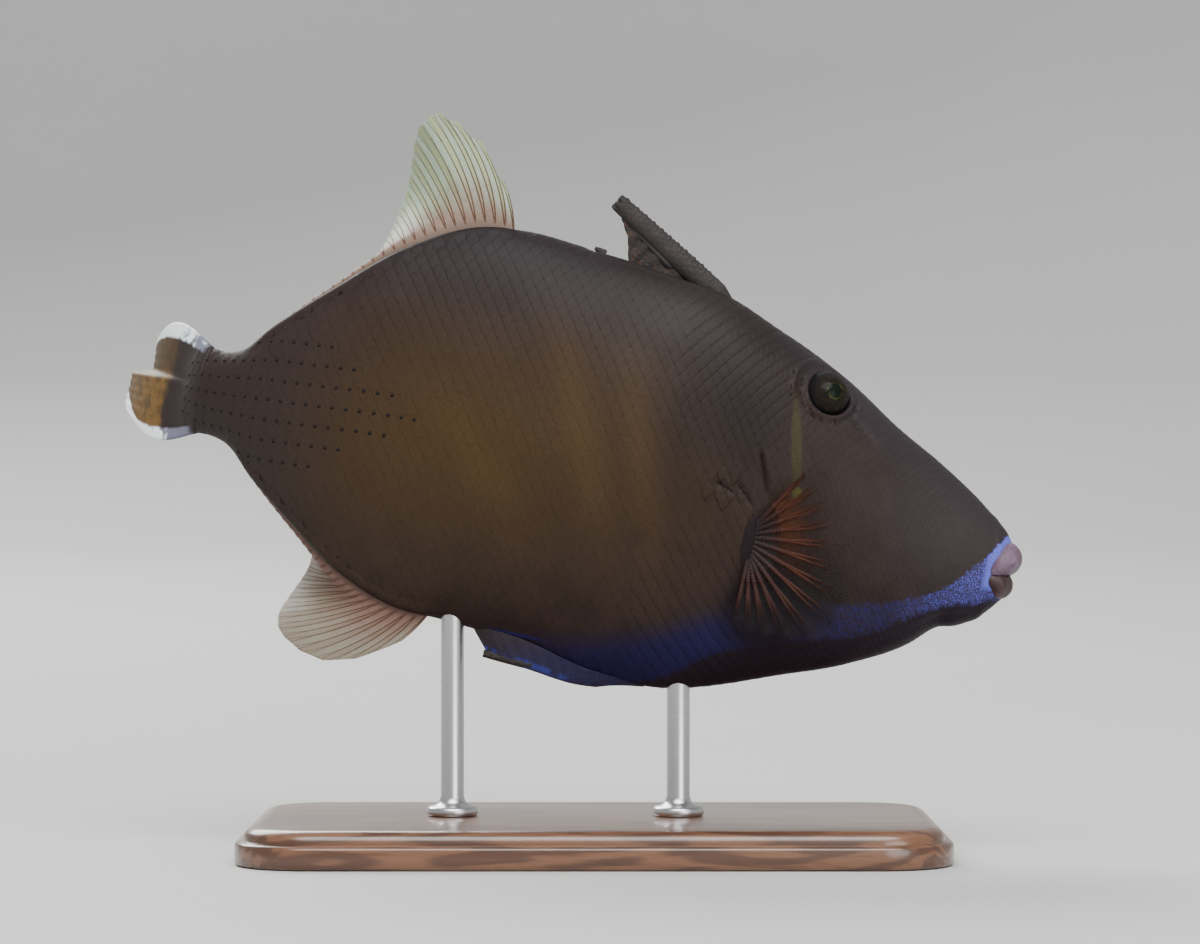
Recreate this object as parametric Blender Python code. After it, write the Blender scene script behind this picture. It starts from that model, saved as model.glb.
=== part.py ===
"""A flagtail triggerfish as a still, life-size model on a plain display stand.

Metres, +Z up. The head points to +X, the right side faces -Y and the stand rests on Z = 0.
The fish is drawn in its own frame of three sizes: behind, the distance behind the tip of the snout along
the body's axis; side, the distance to the left of the middle plane; and height, over the body's axis.
"""

import math

import bmesh
import bpy
import numpy as np
from mathutils import Vector

MM = 0.001
GAP = 0.3 * MM

# Pose: where the snout is, how far the nose points down, and how the rear body and tail fin swing left
SNOUT_TIP = Vector((98.75, 0.0, 63.8)) * MM
NOSE_DOWN = math.radians(11.4)
BEND_START = 138.0 * MM
BODY_BEND_RADIUS = 80.0 * MM
TAIL_END = 182.0 * MM
FIN_BEND_RADIUS = 31.0 * MM

# Body: behind, back, belly, half width and the height of the widest place, in millimetres
BODY_STATIONS = (
    (3.2, 3.2, -10.9, 4.4, -3.6),
    (7.0, 6.2, -15.0, 6.0, -3.8),
    (11.0, 9.7, -17.5, 7.1, -3.4),
    (15.0, 12.7, -18.7, 8.2, -2.8),
    (20.0, 15.5, -23.2, 9.5, -2.0),
    (32.0, 22.1, -30.0, 12.2, 0.5),
    (45.0, 30.3, -35.2, 14.6, 3.5),
    (58.0, 36.3, -39.8, 16.5, 4.5),
    (72.0, 41.9, -43.4, 17.0, 4.0),
    (86.0, 44.2, -43.0, 16.6, 3.5),
    (102.0, 46.3, -39.4, 15.2, 3.5),
    (119.0, 47.2, -38.2, 12.8, 3.5),
    (130.0, 45.5, -37.4, 10.8, 3.0),
    (142.0, 39.1, -33.1, 8.4, 2.5),
    (155.0, 28.2, -24.6, 6.2, 1.5),
    (166.5, 18.0, -16.2, 4.8, 0.8),
    (174.0, 10.8, -10.3, 4.1, 0.3),
    (178.5, 9.3, -9.2, 3.7, 0.1),
    (182.0, 9.6, -9.3, 3.4, 0.1),
)
# How full the section is over and under its widest place: 2 is an ellipse, less is more like a wedge
FULLNESS_STATIONS = (
    (3.2, 2.2, 2.2),
    (20.0, 2.2, 2.0),
    (45.0, 2.25, 1.8),
    (72.0, 2.0, 1.6),
    (119.0, 1.9, 1.65),
    (182.0, 2.0, 2.0),
)
HEAD_END = 54.9 * MM
TRUNK_END = 160.0 * MM
HEAD_START = 3.2 * MM
RING_POINTS = 36


def smooth_curve(stations, column, behind):
    """The value in one column of a list of stations, on a smooth curve through them."""
    table = np.array(stations, float)
    xs = table[:, 0] * MM
    ys = table[:, column]
    slopes = np.gradient(ys, xs)
    i = np.clip(np.searchsorted(xs, behind) - 1, 0, len(xs) - 2)
    step = xs[i + 1] - xs[i]
    u = np.clip((behind - xs[i]) / step, 0.0, 1.0)
    from_left = ys[i] * (1 + 2 * u) * (1 - u) ** 2 + slopes[i] * step * u * (1 - u) ** 2
    from_right = ys[i + 1] * (3 - 2 * u) * u**2 + slopes[i + 1] * step * (u - 1) * u**2
    return from_left + from_right


def back_at(behind):
    return smooth_curve(BODY_STATIONS, 1, behind) * MM


def belly_at(behind):
    return smooth_curve(BODY_STATIONS, 2, behind) * MM


def half_width_at(behind):
    return smooth_curve(BODY_STATIONS, 3, behind) * MM


def widest_at(behind):
    return smooth_curve(BODY_STATIONS, 4, behind) * MM


def body_skin(behind, turn):
    """Points on the skin. turn runs from the back, down the right side, to the belly at pi."""
    over = np.cos(turn) > 0
    fullness = np.where(
        over, smooth_curve(FULLNESS_STATIONS, 1, behind), smooth_curve(FULLNESS_STATIONS, 2, behind)
    )
    rise = np.where(over, back_at(behind) - widest_at(behind), belly_at(behind) - widest_at(behind))
    height = widest_at(behind) + rise * np.abs(np.cos(turn)) ** (2 / fullness)
    side = -half_width_at(behind) * np.sign(np.sin(turn)) * np.abs(np.sin(turn)) ** (2 / fullness)
    return np.stack([np.broadcast_to(behind, np.shape(side)), side, height], -1)


def half_width_at_height(behind, height):
    """How far the skin is from the middle plane at a height."""
    over = height > widest_at(behind)
    fullness = smooth_curve(FULLNESS_STATIONS, 1 if over else 2, behind)
    reach = (back_at(behind) if over else belly_at(behind)) - widest_at(behind)
    share = min(abs((height - widest_at(behind)) / reach), 1.0)
    return half_width_at(behind) * (1 - share**fullness) ** (1 / fullness)


def flank(behind, height, side_sign):
    """A point on the skin with its outward, tailward and upward directions."""
    def at(b, h):
        return np.array([b, side_sign * half_width_at_height(b, h), h])

    step = 0.5 * MM
    to_tail = at(behind + step, height) - at(behind - step, height)
    upward = at(behind, height + step) - at(behind, height - step)
    to_tail /= np.linalg.norm(to_tail)
    outward = np.cross(to_tail, upward)
    outward *= np.sign(outward[1]) * side_sign / np.linalg.norm(outward)
    upward = np.cross(outward, to_tail)
    upward *= np.sign(upward[2])
    return at(behind, height), outward, to_tail, upward


def fish_local(points):
    """Fish-frame points as places under the pose empty, X forwards and Y left, with the rear swung left."""
    behind, side, height = np.moveaxis(np.asarray(points, float), -1, 0)
    body_turn = np.clip(behind - BEND_START, 0, TAIL_END - BEND_START) / BODY_BEND_RADIUS
    fin_turn = np.maximum(behind - TAIL_END, 0) / FIN_BEND_RADIUS
    turn = body_turn + fin_turn
    axial = (
        np.minimum(behind, BEND_START)
        + BODY_BEND_RADIUS * np.sin(body_turn)
        + FIN_BEND_RADIUS * (np.sin(turn) - np.sin(body_turn))
    )
    lateral = BODY_BEND_RADIUS * (1 - np.cos(body_turn))
    lateral = lateral + FIN_BEND_RADIUS * (np.cos(body_turn) - np.cos(turn))
    return np.stack([side * np.sin(turn) - axial, lateral + side * np.cos(turn), height], -1)


def clear_scene():
    for obj in list(bpy.data.objects):
        bpy.data.objects.remove(obj)


def finish_material(name, color, roughness, metallic=0.0):
    material = bpy.data.materials.new(name)
    material.use_nodes = True
    shader = material.node_tree.nodes["Principled BSDF"]
    shader.inputs["Base Color"].default_value = (*color, 1.0)
    shader.inputs["Roughness"].default_value = roughness
    shader.inputs["Metallic"].default_value = metallic
    return material


def new_object(name, points, faces, material, parent=None, crease=math.radians(40)):
    mesh = bpy.data.meshes.new(name)
    mesh.from_pydata([tuple(p) for p in points], [], faces)
    mesh.materials.append(material)
    mesh.shade_smooth()
    mesh.set_sharp_from_angle(angle=crease)
    obj = bpy.data.objects.new(name, mesh)
    bpy.context.scene.collection.objects.link(obj)
    obj.parent = parent
    return obj


def tube_faces(rings, ring_points):
    """Quads along a tube of rings, with a cap at each end."""
    faces = []
    for i in range(rings - 1):
        low, high = i * ring_points, (i + 1) * ring_points
        for j in range(ring_points):
            k = (j + 1) % ring_points
            faces.append((low + j, low + k, high + k, high + j))
    faces.append(tuple(reversed(range(ring_points))))
    faces.append(tuple((rings - 1) * ring_points + j for j in range(ring_points)))
    return faces


def facing_out(obj):
    """Recalculates the normals of a closed mesh so that they point out."""
    mesh = bmesh.new()
    mesh.from_mesh(obj.data)
    bmesh.ops.recalc_face_normals(mesh, faces=mesh.faces)
    if mesh.calc_volume(signed=True) < 0:
        bmesh.ops.reverse_faces(mesh, faces=mesh.faces)
    mesh.to_mesh(obj.data)
    mesh.free()
    return obj


def body_length(name, start, end, steps, material, pose):
    """One length of the body between two flat cuts."""
    behind = np.linspace(start, end, steps)
    turn = np.arange(RING_POINTS) * 2 * math.pi / RING_POINTS
    points = fish_local(body_skin(behind[:, None], turn[None, :])).reshape(-1, 3)
    return facing_out(new_object(name, points, tube_faces(steps, RING_POINTS), material, pose))


def ellipsoid(name, centre, axes, radii, material, pose, segments=16, rings=9):
    """A closed ellipsoid in the fish's frame, with its three axes and radii in the same order."""
    axes = [np.array(a, float) * r for a, r in zip(axes, radii)]
    points = [np.array(centre) + axes[2]]
    for i in range(1, rings):
        tilt = math.pi * i / rings
        for j in range(segments):
            spin = 2 * math.pi * j / segments
            points.append(
                np.array(centre)
                + axes[0] * math.sin(tilt) * math.cos(spin)
                + axes[1] * math.sin(tilt) * math.sin(spin)
                + axes[2] * math.cos(tilt)
            )
    points.append(np.array(centre) - axes[2])
    last = len(points) - 1
    faces = []
    for j in range(segments):
        k = (j + 1) % segments
        faces.append((0, 1 + j, 1 + k))
        faces.append((last, last - segments + k, last - segments + j))
        for i in range(rings - 2):
            a = 1 + i * segments
            faces.append((a + j, a + segments + j, a + segments + k, a + k))
    return facing_out(new_object(name, fish_local(points), faces, material, pose))


def swept_tube(name, path, outer_depths, inner_depths, half_heights, material, pose, ring_points=12):
    """A closed tube along a path in the fish's frame. Each ring stands upright, across the path."""
    path = np.array(path, float)
    ahead = np.gradient(path, axis=0)
    across = np.stack([-ahead[:, 1], ahead[:, 0], np.zeros(len(path))], -1)
    across /= np.linalg.norm(across, axis=1)[:, None]
    spin = np.arange(ring_points) * 2 * math.pi / ring_points
    depths = np.where(np.cos(spin) > 0, outer_depths[:, None], inner_depths[:, None])
    rings = (
        path[:, None]
        + across[:, None] * (np.cos(spin) * depths)[..., None]
        + np.array([0, 0, 1.0]) * (np.sin(spin) * half_heights[:, None])[..., None]
    )
    points = fish_local(rings).reshape(-1, 3)
    return facing_out(new_object(name, points, tube_faces(len(path), ring_points), material, pose))


def sheet_faces(columns, rows):
    """Triangles for a thin closed sheet of two grids, split alike on both faces, with a rim round them."""
    back = columns * rows
    faces = []
    for i in range(columns - 1):
        for j in range(rows - 1):
            a, b = i * rows + j, (i + 1) * rows + j
            c, d = b + 1, a + 1
            faces += [(a, b, c), (a, c, d), (back + a, back + c, back + b), (back + a, back + d, back + c)]
    loop = [i * rows for i in range(columns)]
    loop += [(columns - 1) * rows + j for j in range(1, rows)]
    loop += [i * rows + rows - 1 for i in reversed(range(columns - 1))]
    loop += [j for j in reversed(range(1, rows - 1))]
    for n, a in enumerate(loop):
        b = loop[(n + 1) % len(loop)]
        faces += [(a, back + b, b), (a, back + a, back + b)]
    return faces


def fin_sheet(name, middle, half_thick, material, pose, ripple=None):
    """A closed fin of given half thickness about a grid of middle points in the fish's frame."""
    along = np.gradient(middle, axis=0)
    outward = np.gradient(middle, axis=1)
    normal = np.cross(along, outward)
    normal /= np.linalg.norm(normal, axis=2)[..., None]
    if ripple is not None:
        middle = middle + normal * ripple[..., None]
    points = np.concatenate([(middle + normal * half_thick[..., None]).reshape(-1, 3),
                             (middle - normal * half_thick[..., None]).reshape(-1, 3)])
    faces = sheet_faces(*middle.shape[:2])
    return facing_out(new_object(name, fish_local(points), faces, material, pose))


def applied(obj):
    """Applies an object's modifiers and keeps only the largest closed surface."""
    bpy.context.view_layer.update()
    graph = bpy.context.evaluated_depsgraph_get()
    made = bpy.data.meshes.new_from_object(obj.evaluated_get(graph))
    obj.modifiers.clear()
    obj.data = made
    mesh = bmesh.new()
    mesh.from_mesh(made)
    left = set(mesh.faces)
    shells = []
    while left:
        shell, front = set(), [left.pop()]
        while front:
            face = front.pop()
            shell.add(face)
            for edge in face.edges:
                for other in edge.link_faces:
                    if other in left:
                        left.remove(other)
                        front.append(other)
        shells.append(shell)
    largest = max(shells, key=lambda shell: sum(face.calc_area() for face in shell))
    bmesh.ops.delete(mesh, geom=[f for f in mesh.faces if f not in largest], context="FACES")
    mesh.to_mesh(made)
    mesh.free()
    return obj


def combine(obj, others, operation):
    """Joins closed objects to obj, or cuts them from it, by one Boolean, and removes them."""
    pieces = bpy.data.collections.new(obj.name + "_pieces")
    bpy.context.scene.collection.children.link(pieces)
    for other in others:
        bpy.context.scene.collection.objects.unlink(other)
        pieces.objects.link(other)
    boolean = obj.modifiers.new(operation.lower(), "BOOLEAN")
    boolean.operation = operation
    boolean.operand_type = "COLLECTION"
    boolean.collection = pieces
    applied(obj)
    for other in others:
        bpy.data.objects.remove(other)
    bpy.data.collections.remove(pieces)
    return obj


SIDES = {"right": -1.0, "left": 1.0}

# Eye: a ball set into the head, with a low rim of skin round it
EYE_BEHIND = 47.7 * MM
EYE_HEIGHT = 25.7 * MM
EYE_RADIUS = 5.6 * MM
EYE_SINK = 3.1 * MM
EYE_OUTLOOK_LIFT = 0.55
RIM_GROWTH = 0.9 * MM
RIM_THICKNESS = 0.55 * MM


def eye_place(side_sign):
    """The eyeball's centre and the way that it looks: outwards, less upwards than the skin there faces."""
    point, outward, _, _ = flank(EYE_BEHIND, EYE_HEIGHT, side_sign)
    look = np.array([outward[0], outward[1], outward[2] * EYE_OUTLOOK_LIFT])
    look /= np.linalg.norm(look)
    return point - look * EYE_SINK, look


def across_axes(direction):
    """Two directions square to one direction and to each other."""
    first = np.cross(direction, (0.0, 0.0, 1.0))
    first /= np.linalg.norm(first)
    return first, np.cross(direction, first)


def eyeball(name, side_sign, growth, material, pose):
    centre, look = eye_place(side_sign)
    radius = EYE_RADIUS + growth
    return ellipsoid(name, centre, (*across_axes(look), look), (radius,) * 3, material, pose, 16, 9)


def eye_rim(side_sign, material, pose):
    """A flattened ball round the eye; the socket cut leaves a low rim of it standing over the skin."""
    centre, look = eye_place(side_sign)
    spread = EYE_RADIUS + RIM_GROWTH
    middle = centre + look * (EYE_SINK - 0.6 * MM)
    radii = (spread, spread, 1.5 * MM + RIM_THICKNESS)
    return ellipsoid("rim", middle, (*across_axes(look), look), radii, material, pose, 22, 8)


# Lips: two soft rolls round a small mouth, from one corner to the other
UPPER_LIP = {"front": 3.3, "corner": 6.6, "half_gape": 4.6, "height": -1.2, "corner_height": -3.7,
             "half_depth": 3.6, "half_height": 3.6, "corner_share": 0.4}
LOWER_LIP = {"front": 3.5, "corner": 6.6, "half_gape": 4.3, "height": -7.8, "corner_height": -6.6,
             "half_depth": 2.9, "half_height": 2.6, "corner_share": 0.42}
LIP_INNER_SHARE = 0.42
LIP_STEPS = 15


def lip(name, sizes, growth, material, pose):
    """A lip along a half round from corner to corner, fullest in the middle. Sizes are in millimetres."""
    sweep = np.linspace(-math.pi / 2, math.pi / 2, LIP_STEPS)
    back_share = 1 - np.cos(sweep)
    fall = back_share**2
    path = np.stack([
        sizes["front"] + (sizes["corner"] - sizes["front"]) * back_share,
        sizes["half_gape"] * np.sin(sweep),
        sizes["height"] + (sizes["corner_height"] - sizes["height"]) * fall,
    ], -1) * MM
    fullness = 1 - (1 - sizes["corner_share"]) * fall
    outer = sizes["half_depth"] * MM * fullness
    half_heights = sizes["half_height"] * MM * fullness
    path[0, 0] += growth
    path[-1, 0] += growth
    return swept_tube(name, path, outer + growth, outer * LIP_INNER_SHARE + growth, half_heights + growth,
                      material, pose)


def mouth_hollow(pose, material):
    centre = (3.6 * MM, 0.0, -5.0 * MM)
    return ellipsoid("mouth", centre, np.eye(3), (4.6 * MM, 4.4 * MM, 1.7 * MM), material, pose, 16, 8)


# Slits and pits of the cheek: places and half sizes in millimetres, and in degrees the rise of the long way
# from straight back
GILL_SLIT = {"place": (58.5, 6.7), "half_length": 4.4, "half_width": 0.5, "depth": 1.4, "rise": 70.0}
EYE_GROOVE = {"place": (39.4, 19.6), "half_length": 3.6, "half_width": 0.55, "depth": 0.5, "rise": 38.0}
NOSTRILS = tuple(
    {"place": place, "half_length": 0.8, "half_width": 0.6, "depth": 1.0, "rise": 56.0}
    for place in ((41.6, 23.6), (43.2, 25.0))
)


def slit(sizes, side_sign, pose, material):
    """A long thin ellipsoid lying in the skin, to cut a slit, a groove or a pit."""
    behind, height = sizes["place"]
    point, outward, to_tail, upward = flank(behind * MM, height * MM, side_sign)
    rise = math.radians(sizes["rise"])
    long_way = upward * math.sin(rise) + to_tail * math.cos(rise)
    axes = (np.cross(outward, long_way), long_way, outward)
    radii = [sizes[size] * MM for size in ("half_width", "half_length", "depth")]
    return ellipsoid("slit", point, axes, radii, material, pose, 14, 7)


# Plates behind the gill slit, over the root of the pectoral fin: places and half lengths in millimetres
SCUTES = ((62.2, 0.9, 1.6), (65.0, 3.3, 1.7), (65.6, -0.7, 1.7), (68.4, 1.5, 1.6), (62.8, 4.7, 1.4))
SCUTE_RISE = 0.45 * MM


def scute(behind, height, half_length, side_sign, pose, material):
    """A low diamond plate lying on the flank, its root well inside."""
    point, outward, to_tail, upward = flank(behind * MM, height * MM, side_sign)
    rim = [to_tail, upward, -to_tail, -upward]
    reach = (1.0, 0.85, 1.0, 0.85)
    size = half_length * MM
    base = [point + r * size * k - outward * 1.2 * MM for r, k in zip(rim, reach)]
    edge = [point + r * size * k + outward * 0.1 * MM for r, k in zip(rim, reach)]
    crown = [point + r * size * 0.55 * k + outward * SCUTE_RISE for r, k in zip(rim, reach)]
    faces = tube_faces(3, 4)
    return facing_out(new_object("scute", fish_local(base + edge + crown), faces, material, pose))


# Pectoral fins: a fleshy root in the flank and a fan of rays swept forwards and out
PECTORAL_BEHIND = 58.0 * MM
PECTORAL_HEIGHT = -8.0 * MM
PECTORAL_ROOT = (2.1 * MM, 6.0 * MM, 2.6 * MM)
PECTORAL_RAYS = 13
PECTORAL_TOP_ANGLE = math.radians(62)
PECTORAL_LOW_ANGLE = math.radians(-93)
PECTORAL_FLARE = math.radians(27)
PECTORAL_LENGTHS = (
    (0.0, 19.5),
    (0.2, 20.0),
    (0.4, 21.8),
    (0.56, 26.0),
    (0.66, 24.6),
    (0.78, 19.0),
    (1.0, 14.5),
)
PECTORAL_ROWS = 8
PECTORAL_ARC = (1.1 * MM, 4.1 * MM)


def pectoral_fan(side_sign, material, pose):
    """The fan of one pectoral fin. A ray's angle is from straight ahead, up, in the plane of the flank."""
    point, outward, to_tail, upward = flank(PECTORAL_BEHIND, PECTORAL_HEIGHT, side_sign)
    columns = 2 * PECTORAL_RAYS - 1
    share = np.linspace(0.0, 1.0, columns)
    shares, lengths = np.array(PECTORAL_LENGTHS).T
    length = np.interp(share, shares, lengths) * MM
    length[1::2] *= 0.965
    angle = PECTORAL_TOP_ANGLE + (PECTORAL_LOW_ANGLE - PECTORAL_TOP_ANGLE) * share
    run = np.linspace(0.0, 1.0, PECTORAL_ROWS)
    forward_part, upward_part = np.cos(angle)[:, None], np.sin(angle)[:, None]
    root = point + outward * 1.1 * MM
    root = root - to_tail * PECTORAL_ARC[0] * forward_part + upward * PECTORAL_ARC[1] * upward_part
    ahead = upward * upward_part - to_tail * forward_part
    flare = PECTORAL_FLARE * (0.65 + 0.35 * np.sin(math.pi * share))
    droop = 0.10 * length[:, None] * run[None, :] ** 2
    middle = (
        root[:, None]
        + ahead[:, None] * (np.cos(flare) * length)[:, None, None] * run[None, :, None]
        + outward * ((np.sin(flare) * length)[:, None] * run[None, :] - droop)[..., None]
    )
    ray = (np.arange(columns) % 2 == 0)[:, None]
    half_thick = np.where(ray, 0.55 - 0.2 * run, 0.32 - 0.06 * run) * MM
    return fin_sheet("fan", middle, half_thick, material, pose)


def pectoral_root(name, side_sign, growth, material, pose):
    point, outward, to_tail, upward = flank(PECTORAL_BEHIND, PECTORAL_HEIGHT, side_sign)
    radii = [r + growth for r in PECTORAL_ROOT]
    centre = point + outward * 0.2 * MM
    return ellipsoid(name, centre, (to_tail, upward, outward), radii, material, pose, 16, 8)


# Second dorsal and anal fins. Each list says how the rays change along the base, in millimetres and degrees:
# behind, length, sweep to the tail from square to the base, further curl to the tip, lean to the left
SECOND_DORSAL_RAYS = 27
SECOND_DORSAL = (
    (120.6, 11.6, 5, 26, 0),
    (122.9, 21.8, 4, 34, 1),
    (125.2, 26.5, 6, 34, 2),
    (127.5, 28.0, 5, 31, 4),
    (129.8, 26.6, 4, 28, 8),
    (132.1, 25.2, 3, 25, 24),
    (134.5, 24.0, 1, 22, 39),
    (137.0, 23.0, -1, 20, 51),
    (141.0, 21.2, 0, 16, 65),
    (146.0, 18.6, 3, 12, 78),
    (152.0, 15.0, 4, 10, 86),
    (160.0, 11.0, 8, 8, 87),
    (171.5, 6.5, 20, 6, 80),
)
ANAL_RAYS = 25
ANAL = (
    (122.4, 8.6, 24, 16, 0),
    (124.0, 16.2, 30, 18, 1),
    (126.0, 21.8, 34, 20, 2),
    (128.0, 24.4, 38, 20, 4),
    (131.0, 25.6, 40, 20, 10),
    (134.0, 25.0, 40, 17, 28),
    (137.0, 23.8, 35, 14, 48),
    (140.5, 21.6, 28, 10, 64),
    (145.0, 18.0, 18, 7, 78),
    (151.0, 14.0, 8, 6, 86),
    (159.0, 10.0, 8, 6, 88),
    (168.0, 6.5, 22, 6, 80),
)
MEDIAN_FIN_RUN = (0.0, 0.04, 0.1, 0.18, 0.3, 0.48, 0.72, 1.0)
LEAN_REACHED = 0.22
BASE_HALF_THICK = 1.0 * MM


def median_fin(name, stations, rays, contour, up_sign, material, pose):
    """A fin along the middle line. Its rays turn about the base line: they sweep, curl and lean left."""
    columns = 2 * rays - 1
    run = np.array(MEDIAN_FIN_RUN)
    base = np.linspace(stations[0][0], stations[-1][0], columns) * MM
    length = smooth_curve(stations, 1, base) * MM
    shorter = np.minimum(length[:-2:2], length[2::2])
    length[1::2] = shorter + 0.25 * np.abs(length[2::2] - length[:-2:2]) - 0.3 * MM
    sweep, curl, lean = (np.radians(smooth_curve(stations, c, base)) for c in (2, 3, 4))
    step = 1.0 * MM
    slope = (contour(base + step) - contour(base - step)) / (2 * step)
    to_tail = np.stack([np.ones(columns), np.zeros(columns), slope], -1)
    to_tail /= np.linalg.norm(to_tail, axis=1)[:, None]
    off_body = np.stack([-to_tail[:, 2], np.zeros(columns), to_tail[:, 0]], -1) * up_sign
    left = np.array([0.0, 1.0, 0.0])
    points = [np.stack([base, np.zeros(columns), contour(base) + up_sign * GAP], -1)]
    for low, high in zip(run[:-1], run[1:]):
        at = (low + high) / 2
        ease = min(at / LEAN_REACHED, 1.0) if low > 0 else 0.0
        tilt = (lean * ease * ease * (3 - 2 * ease))[:, None]
        swept = (sweep + curl * at)[:, None]
        way = np.sin(swept) * to_tail + np.cos(swept) * (np.cos(tilt) * off_body + np.sin(tilt) * left)
        points.append(points[-1] + way * (length * (high - low))[:, None])
    middle = np.stack(points, 1)
    ray = (np.arange(columns) % 2 == 0)[:, None]
    half_thick = np.where(ray, 0.55 - 0.25 * run, 0.32 - 0.07 * run) * MM
    half_thick[:, 0] = BASE_HALF_THICK
    half_thick[:, 1] = BASE_HALF_THICK * 0.75
    return fin_sheet(name, middle, half_thick, material, pose)


# Tail fin: half closed, its rays pleated, its rear edge swung far to the left. The lower lobe trails further
# to the right than the upper one, and a step in the rear edge parts them.
TAIL_RAYS = 12
TAIL_RAY_LENGTH = 32.0 * MM
TAIL_TIP_TOP = 9.2 * MM
TAIL_TIP_LOW = -8.2 * MM
TAIL_BULGE_TOP = 4.4 * MM
TAIL_BULGE_LOW = 3.8 * MM
TAIL_PLEAT = 0.2 * MM
TAIL_TRAIL = 0.6 * MM
LOWER_LOBE_TRAIL = 4.7 * MM
LOBE_STEP_PLACE = 0.13
LOBE_STEP_WIDTH = 0.05
LOBE_NOTCH = 1.6 * MM
TAIL_RUN = (0.0, 0.09, 0.2, 0.32, 0.44, 0.56, 0.68, 0.79, 0.9, 1.0)


def tail_fin(name, material, pose):
    """The tail fin. Its root matches the cut end of the body."""
    columns = 2 * TAIL_RAYS - 1
    run = np.array(TAIL_RUN)
    across = np.linspace(1.0, -1.0, columns)
    outer = np.abs(across)
    length = TAIL_RAY_LENGTH * (1 - 0.2 * outer**5) + 1.4 * MM * (across < 0) * outer * (1 - outer**4)
    length -= LOBE_NOTCH * np.exp(-(((across - LOBE_STEP_PLACE) / 0.09) ** 2))
    length[1::2] -= 0.5 * MM
    root_top, root_low = back_at(TAIL_END), belly_at(TAIL_END)
    root = (root_top + root_low) / 2 + across * (root_top - root_low) / 2 * 0.97
    tip = (TAIL_TIP_TOP + TAIL_TIP_LOW) / 2 + across * (TAIL_TIP_TOP - TAIL_TIP_LOW) / 2
    bulge = np.where(across > 0, TAIL_BULGE_TOP, -TAIL_BULGE_LOW) * outer**3
    height = root[:, None] + (tip - root)[:, None] * run + bulge[:, None] * np.sin(math.pi * run)
    lower_lobe = (1 - 0.55 * outer**8) / (1 + np.exp((across - LOBE_STEP_PLACE) / LOBE_STEP_WIDTH))
    trail = -(TAIL_TRAIL * outer**2 + LOWER_LOBE_TRAIL * lower_lobe)[:, None] * run**2
    behind = TAIL_END + GAP + length[:, None] * run
    middle = np.stack([behind, trail, height], -1)
    ray = np.arange(columns) % 2 == 0
    half_thick = np.where(ray[:, None], 0.6 - 0.25 * run, 0.34 - 0.08 * run) * MM
    root_half = np.array([half_width_at_height(TAIL_END, h) for h in root])
    half_thick[:, 0] = np.maximum(root_half - 0.1 * MM, 0.4 * MM)
    half_thick[:, 1] = np.maximum(root_half * 0.55, 0.5 * MM)
    half_thick[:, 2] = np.maximum(root_half * 0.28, half_thick[:, 2])
    ripple = np.where(ray, 1.0, -1.0)[:, None] * TAIL_PLEAT * run**2
    return fin_sheet(name, middle, half_thick, material, pose, ripple)


# First dorsal fin: a stout rough spine half raised, a short one behind it and the skin between
SPINE_ROOT = (72.5 * MM, 40.45 * MM)
SPINE_RISE = math.radians(31.5)
SPINE_LENGTH = 32.4 * MM
SPINE_HALF_DEEP = 2.6 * MM
SPINE_HALF_WIDE = 1.6 * MM
SPINE_BARBS = 0.35 * MM
SPINE_STEPS = 19
SECOND_SPINE_ROOT = (86.0 * MM, 45.8 * MM)
SECOND_SPINE_RISE = math.radians(34)
SECOND_SPINE_LENGTH = 12.5 * MM
THIRD_SPINE_BEHIND = 101.8 * MM
THIRD_SPINE_RADII = (1.0 * MM, 0.7 * MM, 1.3 * MM)
WEB_START = 79.5 * MM
WEB_END = 95.2 * MM
WEB_REAR_EDGE = ((96.3, 50.3), (98.4, 53.9))
WEB_ON_SPINE = (0.19, 0.93)
WEB_ON_BACK = 0.66
WEB_HALF_THICK = 0.4 * MM


def spine(name, root, rise, length, half_deep, half_wide, tip_share, growth, material, pose, rough=0.0):
    """A tapered spine in the middle plane, oval across, with small barbs along its front edge."""
    run = np.linspace(0.0, 1.0, SPINE_STEPS)
    rounding = np.minimum(0.6 + 4.0 * run, 1.0) * np.where(run > 0.93, 1 - 6.0 * (run - 0.93), 1.0)
    taper = (1 - (1 - tip_share) * run**1.6) * rounding
    barb = rough * (run > 0.3) * (np.arange(SPINE_STEPS) % 2)
    forward = np.array([math.cos(rise), 0.0, math.sin(rise)])
    front = np.array([-math.sin(rise), 0.0, math.cos(rise)])
    left = np.array([0.0, 1.0, 0.0])
    spin = np.arange(10) * 2 * math.pi / 10
    centres = np.array([root[0], 0.0, root[1]]) + forward * (length * run)[:, None]
    deep = half_deep * taper + growth
    wide = half_wide * taper + growth
    reach = deep[:, None] * np.cos(spin) + barb[:, None] * np.maximum(np.cos(spin), 0) ** 3
    points = (
        centres[:, None]
        + front * reach[..., None]
        + left * (wide[:, None] * np.sin(spin))[..., None]
    )
    faces = tube_faces(SPINE_STEPS, 10)
    return facing_out(new_object(name, fish_local(points).reshape(-1, 3), faces, material, pose))


def first_spine(name, growth, material, pose):
    return spine(name, SPINE_ROOT, SPINE_RISE, SPINE_LENGTH, SPINE_HALF_DEEP, SPINE_HALF_WIDE, 0.72, growth,
                 material, pose, SPINE_BARBS)


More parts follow.
